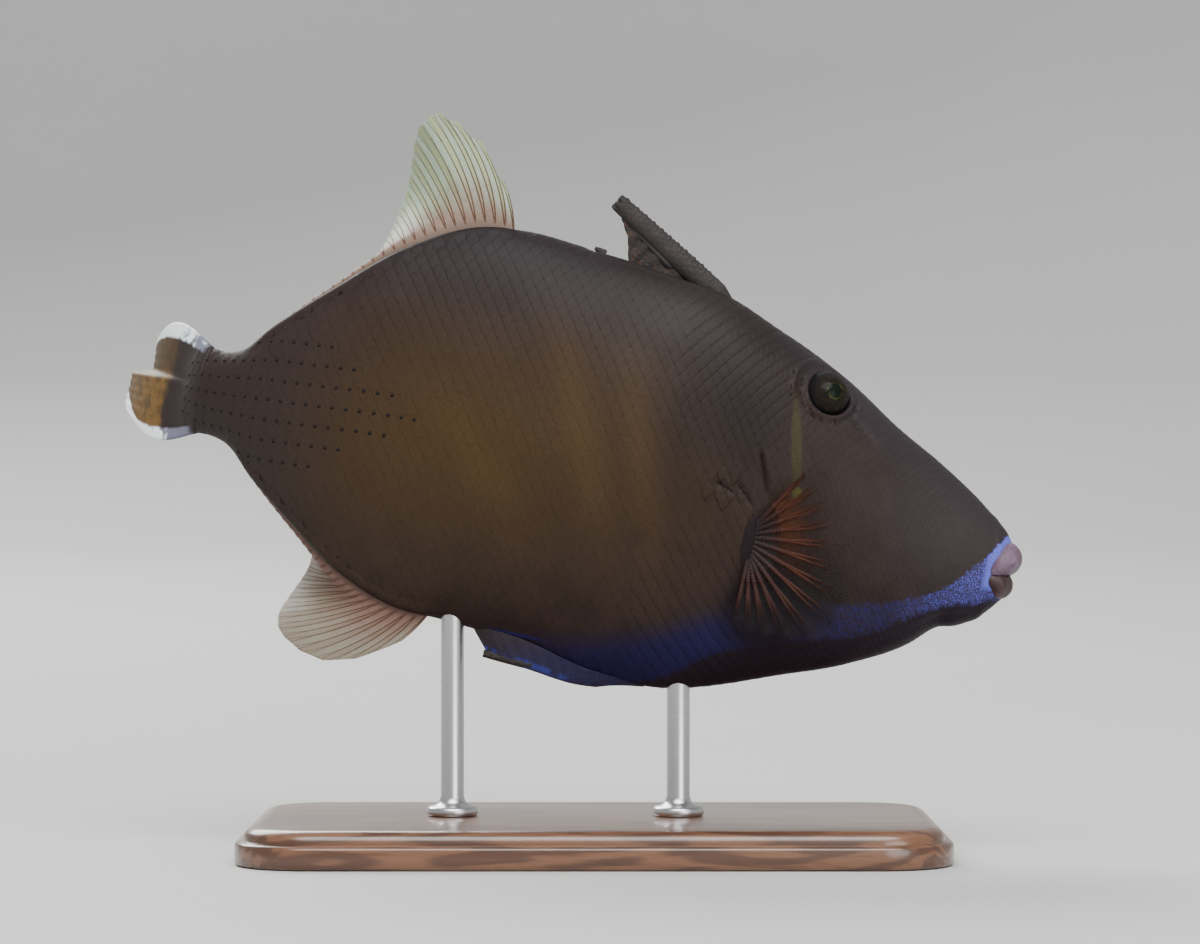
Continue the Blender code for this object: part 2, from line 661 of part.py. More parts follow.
def spine_web(material, pose):
    """The skin between the first spine and the back, or its own rear edge where it ends."""
    columns, rows = 15, 6
    run = np.linspace(0.0, 1.0, columns)
    along_spine = SPINE_LENGTH * np.interp(run, (0.0, 1.0), WEB_ON_SPINE)
    top_behind = SPINE_ROOT[0] + math.cos(SPINE_RISE) * along_spine
    top_height = SPINE_ROOT[1] + math.sin(SPINE_RISE) * along_spine
    low_behind = np.interp(run, (0.0, WEB_ON_BACK), (WEB_START, WEB_END))
    low_height = back_at(low_behind) + GAP
    past = run >= WEB_ON_BACK
    start = (WEB_END / MM, low_height[~past][-1] / MM + 0.1)
    rear = np.array([start, *WEB_REAR_EDGE, (top_behind[-1] / MM, top_height[-1] / MM)]) * MM
    share = (run[past] - WEB_ON_BACK) / (1 - WEB_ON_BACK) * (len(rear) - 1)
    low_behind[past] = np.interp(share, np.arange(len(rear)), rear[:, 0])
    low_height[past] = np.interp(share, np.arange(len(rear)), rear[:, 1])
    down = np.linspace(0.0, 1.0, rows)
    behind = top_behind[:, None] + (low_behind - top_behind)[:, None] * down
    height = top_height[:, None] + (low_height - top_height)[:, None] * down
    middle = np.stack([behind, np.zeros_like(behind), height], -1)[:-1]
    return fin_sheet("web", middle, np.full(middle.shape[:2], WEB_HALF_THICK), material, pose)


def first_dorsal_fin(name, material, pose):
    fin = first_spine(name, 0.0, material, pose)
    second = spine("second", SECOND_SPINE_ROOT, SECOND_SPINE_RISE, SECOND_SPINE_LENGTH, 0.95 * MM, 0.85 * MM,
                   0.4, 0.0, material, pose)
    return combine(fin, [spine_web(material, pose), second], "UNION")


def third_spine(pose, material):
    """The little third spine, which barely shows over the groove in the back."""
    centre = (THIRD_SPINE_BEHIND, 0.0, back_at(THIRD_SPINE_BEHIND) + 0.1 * MM)
    return ellipsoid("third", centre, np.eye(3), THIRD_SPINE_RADII, material, pose, 10, 6)


# Belly flap: the loose skin along the pelvic bone, with the blunt rough end of the bone and a web behind it
FLAP_START = 74.0 * MM
FLAP_END = 108.0 * MM
FLAP_REAR_SLANT = 5.0 * MM
FLAP_DEPTHS = ((74.0, -44.2), (80.0, -45.2), (89.0, -46.0), (98.0, -45.0), (108.0, -43.6))
FLAP_DOWN = (0.0, 0.3, 0.6, 0.86, 1.0)
FLAP_COLUMNS = 18
PELVIC_BONE_ROOT = (97.5 * MM, -43.6 * MM)
PELVIC_BONE_RISE = math.radians(1.0)
PELVIC_BONE_LENGTH = 11.6 * MM
PELVIC_BONE_HALF_DEEP = 1.35 * MM
PELVIC_BONE_HALF_WIDE = 1.3 * MM
PELVIC_BONE_BARBS = 0.22 * MM


def belly_flap(name, material, pose):
    share = np.linspace(0.0, 1.0, FLAP_COLUMNS)
    down = np.array(FLAP_DOWN)
    low_behind = FLAP_START + (FLAP_END - FLAP_START) * share
    behind = low_behind[:, None] + FLAP_REAR_SLANT * share[:, None] ** 3 * (1 - down)
    top = belly_at(behind[:, 0]) - GAP
    low = np.minimum(smooth_curve(FLAP_DEPTHS, 1, low_behind) * MM, top - 0.5 * MM)
    height = top[:, None] + (low - top)[:, None] * down
    middle = np.stack([behind, np.zeros_like(height), height], -1)
    grown = np.clip((low_behind - FLAP_START) / (10 * MM), 0, 1)[:, None]
    half_thick = (0.5 + (1.5 * (1 - down) ** 0.8 + 0.35) * grown) * MM
    half_thick[:, -1] *= 0.7
    flap = fin_sheet(name, middle, half_thick, material, pose)
    bone = spine("bone", PELVIC_BONE_ROOT, PELVIC_BONE_RISE, PELVIC_BONE_LENGTH, PELVIC_BONE_HALF_DEEP,
                 PELVIC_BONE_HALF_WIDE, 0.62, 0.0, material, pose, PELVIC_BONE_BARBS)
    return combine(flap, [bone], "UNION")


# Stand: a flat base with two rods, each sunk a little way into the belly
BASE_CENTRE = 7.0 * MM
BASE_LENGTH = 150.0 * MM
BASE_WIDTH = 84.0 * MM
BASE_HEIGHT = 8.0 * MM
BASE_CORNER = 16.0 * MM
BASE_EDGE = 1.6 * MM
ROD_RADIUS = 2.5 * MM
ROD_SIDES = 20
RODS = {"front": (25.0 * MM, 47.0 * MM), "rear": (-23.5 * MM, 60.0 * MM)}


def stand_base(material):
    """A flat plate with round corners and a bevelled top and bottom edge."""
    corner_steps = 7
    outline = []
    for quarter in range(4):
        across = BASE_LENGTH / 2 - BASE_CORNER
        deep = BASE_WIDTH / 2 - BASE_CORNER
        x = BASE_CENTRE + (across if quarter in (0, 3) else -across)
        y = deep if quarter in (0, 1) else -deep
        for n in range(corner_steps):
            angle = math.pi / 2 * (quarter + n / (corner_steps - 1))
            outline.append((x + BASE_CORNER * math.cos(angle), y + BASE_CORNER * math.sin(angle)))
    points = [(x, y, z) for z in (0.0, BASE_HEIGHT) for x, y in outline]
    base = facing_out(new_object("stand_base", points, tube_faces(2, len(outline)), material))
    bevel = base.modifiers.new("edge", "BEVEL")
    bevel.width = BASE_EDGE
    bevel.segments = 2
    bevel.limit_method = "ANGLE"
    bevel.angle_limit = math.radians(50)
    return base


def rod(name, x, bottom, top, radius, material):
    spin = np.arange(ROD_SIDES) * 2 * math.pi / ROD_SIDES
    circle = np.stack([x + radius * np.cos(spin), radius * np.sin(spin)], -1)
    points = [(px, py, z) for z in (bottom, top) for px, py in circle]
    return facing_out(new_object(name, points, tube_faces(2, ROD_SIDES), material))


def stand(base_material, rod_material):
    stand_base(base_material)
    for place, (x, top) in RODS.items():
        rod("stand_rod_" + place, x, BASE_HEIGHT + GAP, top, ROD_RADIUS, rod_material)


def rod_sockets(material):
    return [rod("socket", x, BASE_HEIGHT, top + GAP, ROD_RADIUS + GAP, material) for x, top in RODS.values()]


def build():
    clear_scene()
    skin = finish_material("skin", (0.055, 0.042, 0.036), 0.5)
    fin_web = finish_material("fin_web", (0.42, 0.32, 0.30), 0.45)
    pectoral_web = finish_material("pectoral_web", (0.22, 0.09, 0.04), 0.45)
    tail_web = finish_material("tail_web", (0.16, 0.10, 0.04), 0.45)
    lip_pink = finish_material("lip_pink", (0.42, 0.28, 0.30), 0.4)
    lip_brown = finish_material("lip_brown", (0.10, 0.06, 0.05), 0.4)
    eye_gloss = finish_material("eye_gloss", (0.03, 0.04, 0.015), 0.1)
    base_wood = finish_material("base_wood", (0.10, 0.045, 0.022), 0.35)
    rod_steel = finish_material("rod_steel", (0.55, 0.55, 0.56), 0.25, 1.0)

    pose = bpy.data.objects.new("fish_pose", None)
    bpy.context.scene.collection.objects.link(pose)
    pose.location = SNOUT_TIP
    pose.rotation_euler = (0.0, NOSE_DOWN, 0.0)

    head = body_length("head", HEAD_START, HEAD_END, 24, skin, pose)
    combine(head, [eye_rim(s, skin, pose) for s in SIDES.values()], "UNION")
    cuts = [lip("cut", sizes, GAP, skin, pose) for sizes in (UPPER_LIP, LOWER_LIP)]
    cuts.append(mouth_hollow(pose, skin))
    for sign in SIDES.values():
        cuts.append(eyeball("cut", sign, GAP, skin, pose))
        cuts += [slit(sizes, sign, pose, skin) for sizes in (EYE_GROOVE, *NOSTRILS)]
    combine(head, cuts, "DIFFERENCE")

    trunk = body_length("trunk", HEAD_END + GAP, TRUNK_END, 30, skin, pose)
    plates = [scute(*sizes, sign, pose, skin) for sizes in SCUTES for sign in SIDES.values()]
    combine(trunk, [*plates, third_spine(pose, skin)], "UNION")
    cuts = [first_spine("cut", GAP, skin, pose), *rod_sockets(skin)]
    for sign in SIDES.values():
        cuts.append(pectoral_root("cut", sign, GAP, skin, pose))
        cuts.append(slit(GILL_SLIT, sign, pose, skin))
    combine(trunk, cuts, "DIFFERENCE")

    body_length("tail", TRUNK_END + GAP, TAIL_END, 11, skin, pose)
    tail_fin("tail_fin", tail_web, pose)
    median_fin("second_dorsal_fin", SECOND_DORSAL, SECOND_DORSAL_RAYS, back_at, 1.0, fin_web, pose)
    median_fin("anal_fin", ANAL, ANAL_RAYS, belly_at, -1.0, fin_web, pose)
    first_dorsal_fin("first_dorsal_fin", skin, pose)
    belly_flap("belly_flap", skin, pose)
    lip("upper_lip", UPPER_LIP, 0.0, lip_pink, pose)
    lip("lower_lip", LOWER_LIP, 0.0, lip_brown, pose)
    for side_name, sign in SIDES.items():
        eyeball("eye_" + side_name, sign, 0.0, eye_gloss, pose)
        fin = pectoral_root("pectoral_fin_" + side_name, sign, 0.0, pectoral_web, pose)
        combine(fin, [pectoral_fan(sign, pectoral_web, pose)], "UNION")
    stand(base_wood, rod_steel)


build()
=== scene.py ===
# %% [markdown]
# # A flagtail triggerfish on a display stand
# The fish is deep and flat-sided and wears a coat of small diamond plates. This lesson dresses its plain
# solids: one smooth skin, a coat of scales, fins with rays, wet eyes, soft lips, and the stand that holds
# it. The solids come first, because every finished piece sits where they are.

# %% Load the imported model
import math

import bmesh
import bpy
import numpy as np
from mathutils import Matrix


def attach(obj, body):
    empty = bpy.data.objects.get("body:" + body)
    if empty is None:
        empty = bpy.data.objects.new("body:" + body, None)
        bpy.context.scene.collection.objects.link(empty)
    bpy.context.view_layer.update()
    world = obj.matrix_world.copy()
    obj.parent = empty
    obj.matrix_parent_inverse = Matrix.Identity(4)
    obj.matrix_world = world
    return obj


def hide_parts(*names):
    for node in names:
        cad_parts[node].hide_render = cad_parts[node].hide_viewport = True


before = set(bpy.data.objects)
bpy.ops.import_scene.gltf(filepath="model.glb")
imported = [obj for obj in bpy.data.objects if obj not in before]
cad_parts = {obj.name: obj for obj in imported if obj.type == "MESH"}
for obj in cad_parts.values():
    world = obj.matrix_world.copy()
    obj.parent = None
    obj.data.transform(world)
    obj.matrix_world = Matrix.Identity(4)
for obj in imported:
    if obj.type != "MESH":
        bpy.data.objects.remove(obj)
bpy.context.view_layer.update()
MM = 0.001
ROOT = "root"
print("solids:", sorted(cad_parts))

# %% [markdown]
# The camera looks level across the fish at its right side, as the picture does. Its frame is 1200 by 944,
# and the fish's standard length covers 838 pixels of it, which sets the lens for the distance chosen here.

# %% Camera
CAMERA_DISTANCE = 0.9
LENGTH_IN_PIXELS = 838
FRAME_WIDTH_PIXELS = 1200
STANDARD_LENGTH = 0.18
AIM = (0.0082, 0.0, 0.0818)
metres_per_pixel = STANDARD_LENGTH / LENGTH_IN_PIXELS

camera = bpy.data.cameras.new("camera")
camera.sensor_fit = "HORIZONTAL"
camera.lens = camera.sensor_width * CAMERA_DISTANCE / (FRAME_WIDTH_PIXELS * metres_per_pixel)
camera_object = bpy.data.objects.new("camera", camera)
camera_object.location = (AIM[0], AIM[1] - CAMERA_DISTANCE, AIM[2])
camera_object.rotation_euler = (math.pi / 2, 0.0, 0.0)
bpy.context.scene.collection.objects.link(camera_object)
bpy.context.scene.camera = camera_object
print("lens in mm:", round(camera.lens, 1))

# %% [markdown]
# The fish is drawn in its own three measures, the same ones that shaped the solids: how far behind the tip
# of the snout, how far to the left of the middle, and how high over the body's axis. One function turns
# them into places in the room. It also swings the rear body and the tail fin to the left, as the fish does
# in the picture.

# %% The fish's own frame
SNOUT_TIP = np.array((98.75, 0.0, 63.8)) * MM
NOSE_DOWN = math.radians(11.4)
BEND_START = 138.0 * MM
BODY_BEND_RADIUS = 80.0 * MM
TAIL_END = 182.0 * MM
FIN_BEND_RADIUS = 31.0 * MM
SIDES = {"right": -1.0, "left": 1.0}


def to_room(points):
    behind, side, height = np.moveaxis(np.asarray(points, float), -1, 0)
    body_turn = np.clip(behind - BEND_START, 0, TAIL_END - BEND_START) / BODY_BEND_RADIUS
    turn = body_turn + np.maximum(behind - TAIL_END, 0) / FIN_BEND_RADIUS
    ahead = -(
        np.minimum(behind, BEND_START)
        + BODY_BEND_RADIUS * np.sin(body_turn)
        + FIN_BEND_RADIUS * (np.sin(turn) - np.sin(body_turn))
    ) + side * np.sin(turn)
    left = BODY_BEND_RADIUS * (1 - np.cos(body_turn)) + FIN_BEND_RADIUS * (np.cos(body_turn) - np.cos(turn))
    left = left + side * np.cos(turn)
    x = ahead * math.cos(NOSE_DOWN) + height * math.sin(NOSE_DOWN)
    z = height * math.cos(NOSE_DOWN) - ahead * math.sin(NOSE_DOWN)
    return np.stack([x, left, z], -1) + SNOUT_TIP


# %% [markdown]
# A body like this is a loft: a list of sections from nose to tail. Each station names the back, the belly,
# the half width and the widest height, and smooth curves run through them. The stations match the solids',
# with a few more at each end so that the skin closes under the lips and runs out thin over the root of the
# tail fin.

# %% The body's sections
BODY_STATIONS = (
    (1.6, -0.5, -7.0, 1.5, -3.8),
    (2.2, 1.4, -9.4, 3.4, -3.7),
    (3.2, 3.2, -10.9, 4.4, -3.6),
    (7.0, 6.65, -15.0, 6.0, -3.8),
    (11.0, 9.8, -17.5, 7.1, -3.4),
    (15.0, 12.45, -18.7, 8.2, -2.8),
    (20.0, 15.5, -23.2, 9.5, -2.0),
    (32.0, 22.1, -30.0, 12.2, 0.5),
    (45.0, 30.3, -35.2, 14.6, 3.5),
    (58.0, 36.3, -39.8, 16.5, 4.5),
    (72.0, 41.9, -43.4, 17.0, 4.0),
    (86.0, 44.2, -43.0, 16.6, 3.5),
    (102.0, 46.3, -39.4, 15.2, 3.5),
    (119.0, 47.2, -38.2, 12.8, 3.5),
    (130.0, 45.5, -37.4, 10.8, 3.0),
    (142.0, 39.1, -33.1, 8.4, 2.5),
    (155.0, 28.2, -24.6, 6.2, 1.5),
    (166.5, 18.0, -16.2, 4.8, 0.8),
    (174.0, 10.8, -10.3, 4.1, 0.3),
    (178.5, 9.3, -9.2, 3.7, 0.1),
    (182.0, 9.5, -9.2, 3.2, 0.1),
    (184.5, 9.3, -9.0, 2.2, 0.1),
    (187.0, 8.7, -8.5, 0.9, 0.1),
    (190.0, 7.6, -7.4, 0.2, 0.1),
)
FULLNESS_STATIONS = (
    (1.6, 2.2, 2.2),
    (20.0, 2.2, 2.0),
    (45.0, 2.25, 1.8),
    (72.0, 2.0, 1.6),
    (119.0, 1.9, 1.65),
    (182.0, 2.0, 2.0),
)
BACK, BELLY, HALF_WIDTH, WIDEST = 1, 2, 3, 4


def smooth_curve(stations, column, at):
    """A column's value in a list of stations, on a smooth curve through them. The first column is in mm."""
    table = np.array(stations, float)
    xs, ys = table[:, 0] * MM, table[:, column]
    slopes = np.gradient(ys, xs)
    i = np.clip(np.searchsorted(xs, at) - 1, 0, len(xs) - 2)
    step = xs[i + 1] - xs[i]
    u = np.clip((at - xs[i]) / step, 0.0, 1.0)
    from_left = ys[i] * (1 + 2 * u) * (1 - u) ** 2 + slopes[i] * step * u * (1 - u) ** 2
    from_right = ys[i + 1] * (3 - 2 * u) * u**2 + slopes[i + 1] * step * (u - 1) * u**2
    return from_left + from_right


def section(column, behind):
    return smooth_curve(BODY_STATIONS, column, behind) * MM


def plain_body(behind, turn):
    """A point of the bare loft. turn is 0 at the back, grows down the right side and is pi at the belly."""
    over = np.cos(turn) > 0
    upper, lower = smooth_curve(FULLNESS_STATIONS, 1, behind), smooth_curve(FULLNESS_STATIONS, 2, behind)
    fullness = np.where(over, upper, lower)
    widest = section(WIDEST, behind)
    rise = np.where(over, section(BACK, behind) - widest, section(BELLY, behind) - widest)
    height = widest + rise * np.abs(np.cos(turn)) ** (2 / fullness)
    side = -section(HALF_WIDTH, behind) * np.sign(np.sin(turn)) * np.abs(np.sin(turn)) ** (2 / fullness)
    return np.stack([np.broadcast_to(behind, np.shape(side)), side, height], -1)


def half_width_at_height(behind, height):
    """How far the loft is from the middle plane at a height, for single numbers."""
    widest = section(WIDEST, behind)
    over = height > widest
    fullness = smooth_curve(FULLNESS_STATIONS, 1 if over else 2, behind)
    reach = section(BACK if over else BELLY, behind) - widest
    share = min(abs((height - widest) / reach), 1.0)
    return section(HALF_WIDTH, behind) * (1 - share**fullness) ** (1 / fullness)


def flank(behind, height, sign):
    """A point on one side with its outward, tailward and upward directions."""
    def at(b, h):
        return np.array([b, sign * half_width_at_height(b, h), h])

    step = 0.5 * MM
    to_tail = at(behind + step, height) - at(behind - step, height)
    upward = at(behind, height + step) - at(behind, height - step)
    to_tail /= np.linalg.norm(to_tail)
    outward = np.cross(to_tail, upward)
    outward *= np.sign(outward[1]) * sign / np.linalg.norm(outward)
    upward = np.cross(outward, to_tail)
    upward *= np.sign(upward[2])
    return at(behind, height), outward, to_tail, upward


# %% [markdown]
# The skin isn't smooth all over. Round each eye it rises in a soft fold, before the eye there is a groove
# with two small nostrils, behind the cheek the gill opens in a short slit, and the fins stand in low
# sheaths. All of this is relief on the loft: a sum of small bumps and hollows, each with its own place and
# size.

# %% Relief of the skin
EYE_BEHIND = 47.7 * MM
EYE_HEIGHT = 25.7 * MM
EYE_RADIUS = 5.6 * MM
EYE_SINK = 3.1 * MM
EYE_OUTLOOK_LIFT = 0.55
SOCKET_RADIUS = 4.5 * MM
SOCKET_DEPTH = 4.2 * MM
NOSTRILS = ((41.6, 23.6), (43.2, 25.0))
GROOVE = {"place": (39.4, 19.6), "half_length": 4.4, "half_width": 0.8, "rise": 38.0, "depth": 0.3}
CHIN_FOLDS = (
    {"place": (12.5, -15.6), "half_length": 5.0, "half_width": 0.8, "rise": -20.0, "depth": 0.3},
    {"place": (22.0, -21.0), "half_length": 9.0, "half_width": 0.9, "rise": -34.0, "depth": 0.22},
)
GILL_SLIT = {"place": (58.5, 6.7), "half_length": 4.4, "half_width": 0.22, "rise": 70.0, "depth": 0.9}
GILL_SLOT = {"place": (65.9, 1.9), "half_length": 2.3, "half_width": 0.38, "rise": 20.0, "depth": 0.6}
GILL_CREASE = {"place": (61.5, 1.3), "half_length": 2.9, "half_width": 0.35, "rise": 45.0, "depth": 0.45}
PECTORAL_PLACE = (58.0, -8.0)
# Where each starts, over what length it grows, where it ends, and over what length it falls, in mm.
DORSAL_SHEATH, ANAL_SHEATH, SPINE_TRENCH = (119, 4, 174, 5), (120, 4, 171, 5), (74, 3, 105, 4)
SOCKET_SOFTNESS = 0.14


def eye_place(sign):
    point, outward, _, _ = flank(EYE_BEHIND, EYE_HEIGHT, sign)
    look = np.array([outward[0], outward[1], outward[2] * EYE_OUTLOOK_LIFT])
    look /= np.linalg.norm(look)
    return point - look * EYE_SINK, look


def bump(distance, spread):
    return np.exp(-((distance / spread) ** 2))


def between(value, start, rise, end, fall):
    """Grows from 0 at the start to 1 over the rise, and falls back to 0 at the end."""
    return np.clip((value - start) / rise, 0, 1) * np.clip((end - value) / fall, 0, 1)


def along_and_across(behind, height, place, rise):
    """Measures along and across a line through a place. rise is its angle in degrees, from straight back."""
    along_b, along_h = math.cos(math.radians(rise)), math.sin(math.radians(rise))
    db, dh = behind - place[0], height - place[1]
    return db * along_b + dh * along_h, dh * along_b - db * along_h


def furrow(behind, height, place, half_length, half_width, rise, depth):
    """A soft long hollow on the flank, in mm."""
    along, across = along_and_across(behind, height, place, rise)
    return -depth * np.exp(-((along / half_length) ** 4) - (across / half_width) ** 2)


def relief(points):
    """How far the skin stands over the bare loft, in metres."""
    behind, side, height = np.moveaxis(points / MM, -1, 0)
    sign = np.where(side < 0, -1.0, 1.0)
    out = np.zeros(behind.shape)
    for s in SIDES.values():
        centre, look = eye_place(s)
        off = points - centre
        ahead = off @ look
        radial = np.linalg.norm(off - ahead[..., None] * look, axis=-1) / MM
        near = (ahead > -3.0 * MM) & (sign == s)
        behind_eye = np.clip((behind - 50.5) / 3, 0, 1) * np.clip((height - 22.5) / 2, 0, 1)
        fold = 0.42 * bump(radial - 5.3, 0.6) + 0.40 * bump(radial - 8.3, 0.4) * behind_eye
        fold -= 0.22 * bump(radial - 6.6, 0.5)
        socket = SOCKET_DEPTH / MM / (1 + np.exp((radial - SOCKET_RADIUS / MM) / SOCKET_SOFTNESS))
        out += np.where(near, fold - socket, 0.0)
    for b, h in NOSTRILS:
        radial = np.hypot(behind - b, height - h)
        out += 0.16 * bump(radial - 0.85, 0.3) - 0.75 * bump(radial, 0.5)
    for line in (GROOVE, GILL_SLIT, GILL_SLOT, GILL_CREASE, *CHIN_FOLDS):
        out += furrow(behind, height, **line)
    slit_behind, slit_height = GILL_SLIT["place"]
    lid = {**GILL_SLIT, "place": (slit_behind - 1.2, slit_height), "half_width": 0.9, "depth": -0.3}
    out += furrow(behind, height, **lid)
    out += 0.5 * bump(np.hypot((behind - PECTORAL_PLACE[0]) / 0.6, height - PECTORAL_PLACE[1]), 6.0)
    collar = bump(behind - 5.2 - 0.06 * (height + 4) ** 2 / 4, 0.8)
    out += 0.24 * collar * (behind < 12)
    flat = 0.16 * np.sin(behind * 0.21 + 1.2) * np.sin(height * 0.19 + behind * 0.05)
    out += flat * np.clip((behind - 20) / 30, 0, 1) * np.clip((170 - behind) / 30, 0, 1)
    back, belly = section(BACK, behind * MM) / MM, section(BELLY, behind * MM) / MM
    over_base = between(behind, *DORSAL_SHEATH)
    out += 0.55 * over_base * bump(np.abs(side) - 1.7, 0.9) * (height > back - 2.5)
    under_base = between(behind, *ANAL_SHEATH)
    out += 0.55 * under_base * bump(np.abs(side) - 1.7, 0.9) * (height < belly + 2.5)
    trench = between(behind, *SPINE_TRENCH)
    out -= 0.9 * trench * bump(side, 1.3) * (height > back - 3)
    out += 0.4 * trench * bump(np.abs(side) - 2.6, 0.8) * (height > back - 3)
    return out * MM


def skin_surface(behind, turn):
    """Points of the skin with its relief, and the outward directions, in the fish's frame."""
    db, dt = 0.05 * MM, 0.002
    point = plain_body(behind, turn)
    along = plain_body(behind + db, turn) - plain_body(behind - db, turn)
    around = plain_body(behind, turn + dt) - plain_body(behind, turn - dt)
    outward = np.cross(around, along)
    outward /= np.maximum(np.linalg.norm(outward, axis=-1), 1e-12)[..., None]
    from_axis = point[..., 1:] - [0.0, 0.002]
    outward *= np.where(np.sum(outward[..., 1:] * from_axis, -1) < 0, -1.0, 1.0)[..., None]
    return point + outward * relief(point)[..., None], outward


# %% [markdown]
# The skin mesh is one closed tube of rings. They lie close together on the head, where the fine forms are,
# and further apart along the flank. It takes the place of the head, the trunk and the tail, so no joint
# shows.

# %% Skin mesh
SKIN_START, HEAD_END, SKIN_END = 1.6, 66.0, 190.0
HEAD_RINGS, BODY_RINGS, RING_POINTS = 190, 150, 264


def new_piece(name, points, faces, material=None, edges=()):
    mesh = bpy.data.meshes.new(name)
    mesh.from_pydata([tuple(p) for p in np.asarray(points, float).reshape(-1, 3)], edges, faces)
    mesh.shade_smooth()
    if material:
        mesh.materials.append(material)
    obj = bpy.data.objects.new(name, mesh)
    bpy.context.scene.collection.objects.link(obj)
    return obj


def face_out(obj):
    mesh = bmesh.new()
    mesh.from_mesh(obj.data)
    bmesh.ops.recalc_face_normals(mesh, faces=mesh.faces)
    if mesh.calc_volume(signed=True) < 0:
        bmesh.ops.reverse_faces(mesh, faces=mesh.faces)
    mesh.to_mesh(obj.data)
    mesh.free()
    return obj


def even_turns(count):
    return np.arange(count) * 2 * math.pi / count


def tube_faces(rings, ring_points):
    """Quads along a tube of rings, with a flat cap at each end."""
    i, j = np.meshgrid(np.arange(rings - 1), np.arange(ring_points), indexing="ij")
    k = (j + 1) % ring_points
    this, following = i * ring_points, (i + 1) * ring_points
    quads = np.stack([this + j, this + k, following + k, following + j], -1)
    faces = quads.reshape(-1, 4).tolist()
    faces.append(list(reversed(range(ring_points))))
    faces.append([(rings - 1) * ring_points + n for n in range(ring_points)])
    return faces


def store_numbers(obj, name, values):
    """Keeps one number for each point of a mesh, for its material to read."""
    attribute = obj.data.attributes.new(name, "FLOAT", "POINT")
    attribute.data.foreach_set("value", np.asarray(values, np.float32).ravel())


head_rings = np.linspace(SKIN_START, HEAD_END, HEAD_RINGS)
body_rings = np.linspace(HEAD_END, SKIN_END, BODY_RINGS + 1)[1:]
behind_rings = np.concatenate([head_rings, body_rings]) * MM
turns = even_turns(RING_POINTS)
skin_points, _ = skin_surface(behind_rings[:, None], turns[None, :])
skin = face_out(new_piece("skin", to_room(skin_points), tube_faces(len(behind_rings), RING_POINTS)))
print("skin faces:", len(skin.data.polygons))

# %% [markdown]
# Colour in shader nodes is arithmetic on places. A few helpers keep that arithmetic readable: one for a sum
# or product, one for a soft step, and one that lays a tone over a colour by a mask.

# %% Helpers for shader nodes
class Nodes:
    """Adds nodes to a tree and wires them; a plain number or colour is set on the socket itself."""

    def __init__(self, tree):
        self.tree = tree

    def add(self, kind, **settings):
        node = self.tree.nodes.new(kind)
        for key, value in settings.items():
            setattr(node, key, value)
        return node

    def plug(self, socket, value):
        if isinstance(value, bpy.types.NodeSocket):
            self.tree.links.new(value, socket)
        else:
            socket.default_value = value

    def math(self, operation, *values):
        node = self.add("ShaderNodeMath", operation=operation)
        for socket, value in zip(node.inputs, values):
            self.plug(socket, value)
        return node.outputs[0]

    def step(self, value, low, high):
        """Goes softly from 0 at low to 1 at high, or the other way where low is the larger."""
        node = self.add("ShaderNodeMapRange", interpolation_type="SMOOTHSTEP")
        self.plug(node.inputs["Value"], value)
        falls = low > high
        self.plug(node.inputs["From Min"], high if falls else low)
        self.plug(node.inputs["From Max"], low if falls else high)
        self.plug(node.inputs["To Min"], 1.0 if falls else 0.0)
        self.plug(node.inputs["To Max"], 0.0 if falls else 1.0)
        return node.outputs["Result"]

    def plus(self, first, second):
        return self.math("ADD", first, second)

    def minus(self, first, second):
        return self.math("SUBTRACT", first, second)

    def larger(self, first, second):
        return self.math("MAXIMUM", first, second)

    def sine(self, value):
        return self.math("SINE", value)

    def times(self, *values):
        result = values[0]
        for value in values[1:]:
            result = self.math("MULTIPLY", result, value)
        return result

    def mix(self, mask, first, second):
        node = self.add("ShaderNodeMix", data_type="RGBA")
        self.plug(node.inputs["Factor"], mask)
        self.plug(node.inputs["A"], (*first, 1.0) if isinstance(first, tuple) else first)
        self.plug(node.inputs["B"], (*second, 1.0) if isinstance(second, tuple) else second)
        return node.outputs["Result"]

    def layer(self, color, tone, *masks):
        """Lays a tone over a colour where all the masks are 1."""
        return self.mix(self.times(*masks), color, tone)

    def noise(self, vector, scale, detail=3.0, roughness=0.5):
        node = self.add("ShaderNodeTexNoise")
        self.plug(node.inputs["Vector"], vector)
        self.plug(node.inputs["Scale"], scale)
        self.plug(node.inputs["Detail"], detail)
        self.plug(node.inputs["Roughness"], roughness)
        return node.outputs["Fac"]

    def cells(self, vector, scale):
        node = self.add("ShaderNodeTexVoronoi", feature="F1")
        self.plug(node.inputs["Vector"], vector)
        self.plug(node.inputs["Scale"], scale)
        return node.outputs["Distance"]

    def spot(self, behind, height, place, radii, angle=0.0):
        """A soft oval mask round a place on the flank, in mm, its long axis turned up from straight back."""
        turn_b, turn_h = math.cos(math.radians(angle)), math.sin(math.radians(angle))
        db = self.minus(behind, place[0])
        dh = self.minus(height, place[1])
        along = self.plus(self.times(db, turn_b / radii[0]), self.times(dh, turn_h / radii[0]))
        across = self.minus(self.times(dh, turn_b / radii[1]), self.times(db, turn_h / radii[1]))
        squares = self.plus(self.times(along, along), self.times(across, across))
        return self.math("EXPONENT", self.times(squares, -1.0))

    def attribute(self, name):
        return self.add("ShaderNodeAttribute", attribute_name=name).outputs["Fac"]


def new_material(name, roughness=0.5, **sockets):
    """A material with a Principled shader; further sockets are set by name, with spaces as underscores."""
    material = bpy.data.materials.new(name)
    material.use_nodes = True
    shader = material.node_tree.nodes["Principled BSDF"]
    shader.inputs["Roughness"].default_value = roughness
    for key, value in sockets.items():
        shader.inputs[key.replace("_", " ")].default_value = value
    return material, Nodes(material.node_tree), shader


def set_color(nodes, shader, color):
    nodes.plug(shader.inputs["Base Color"], color)


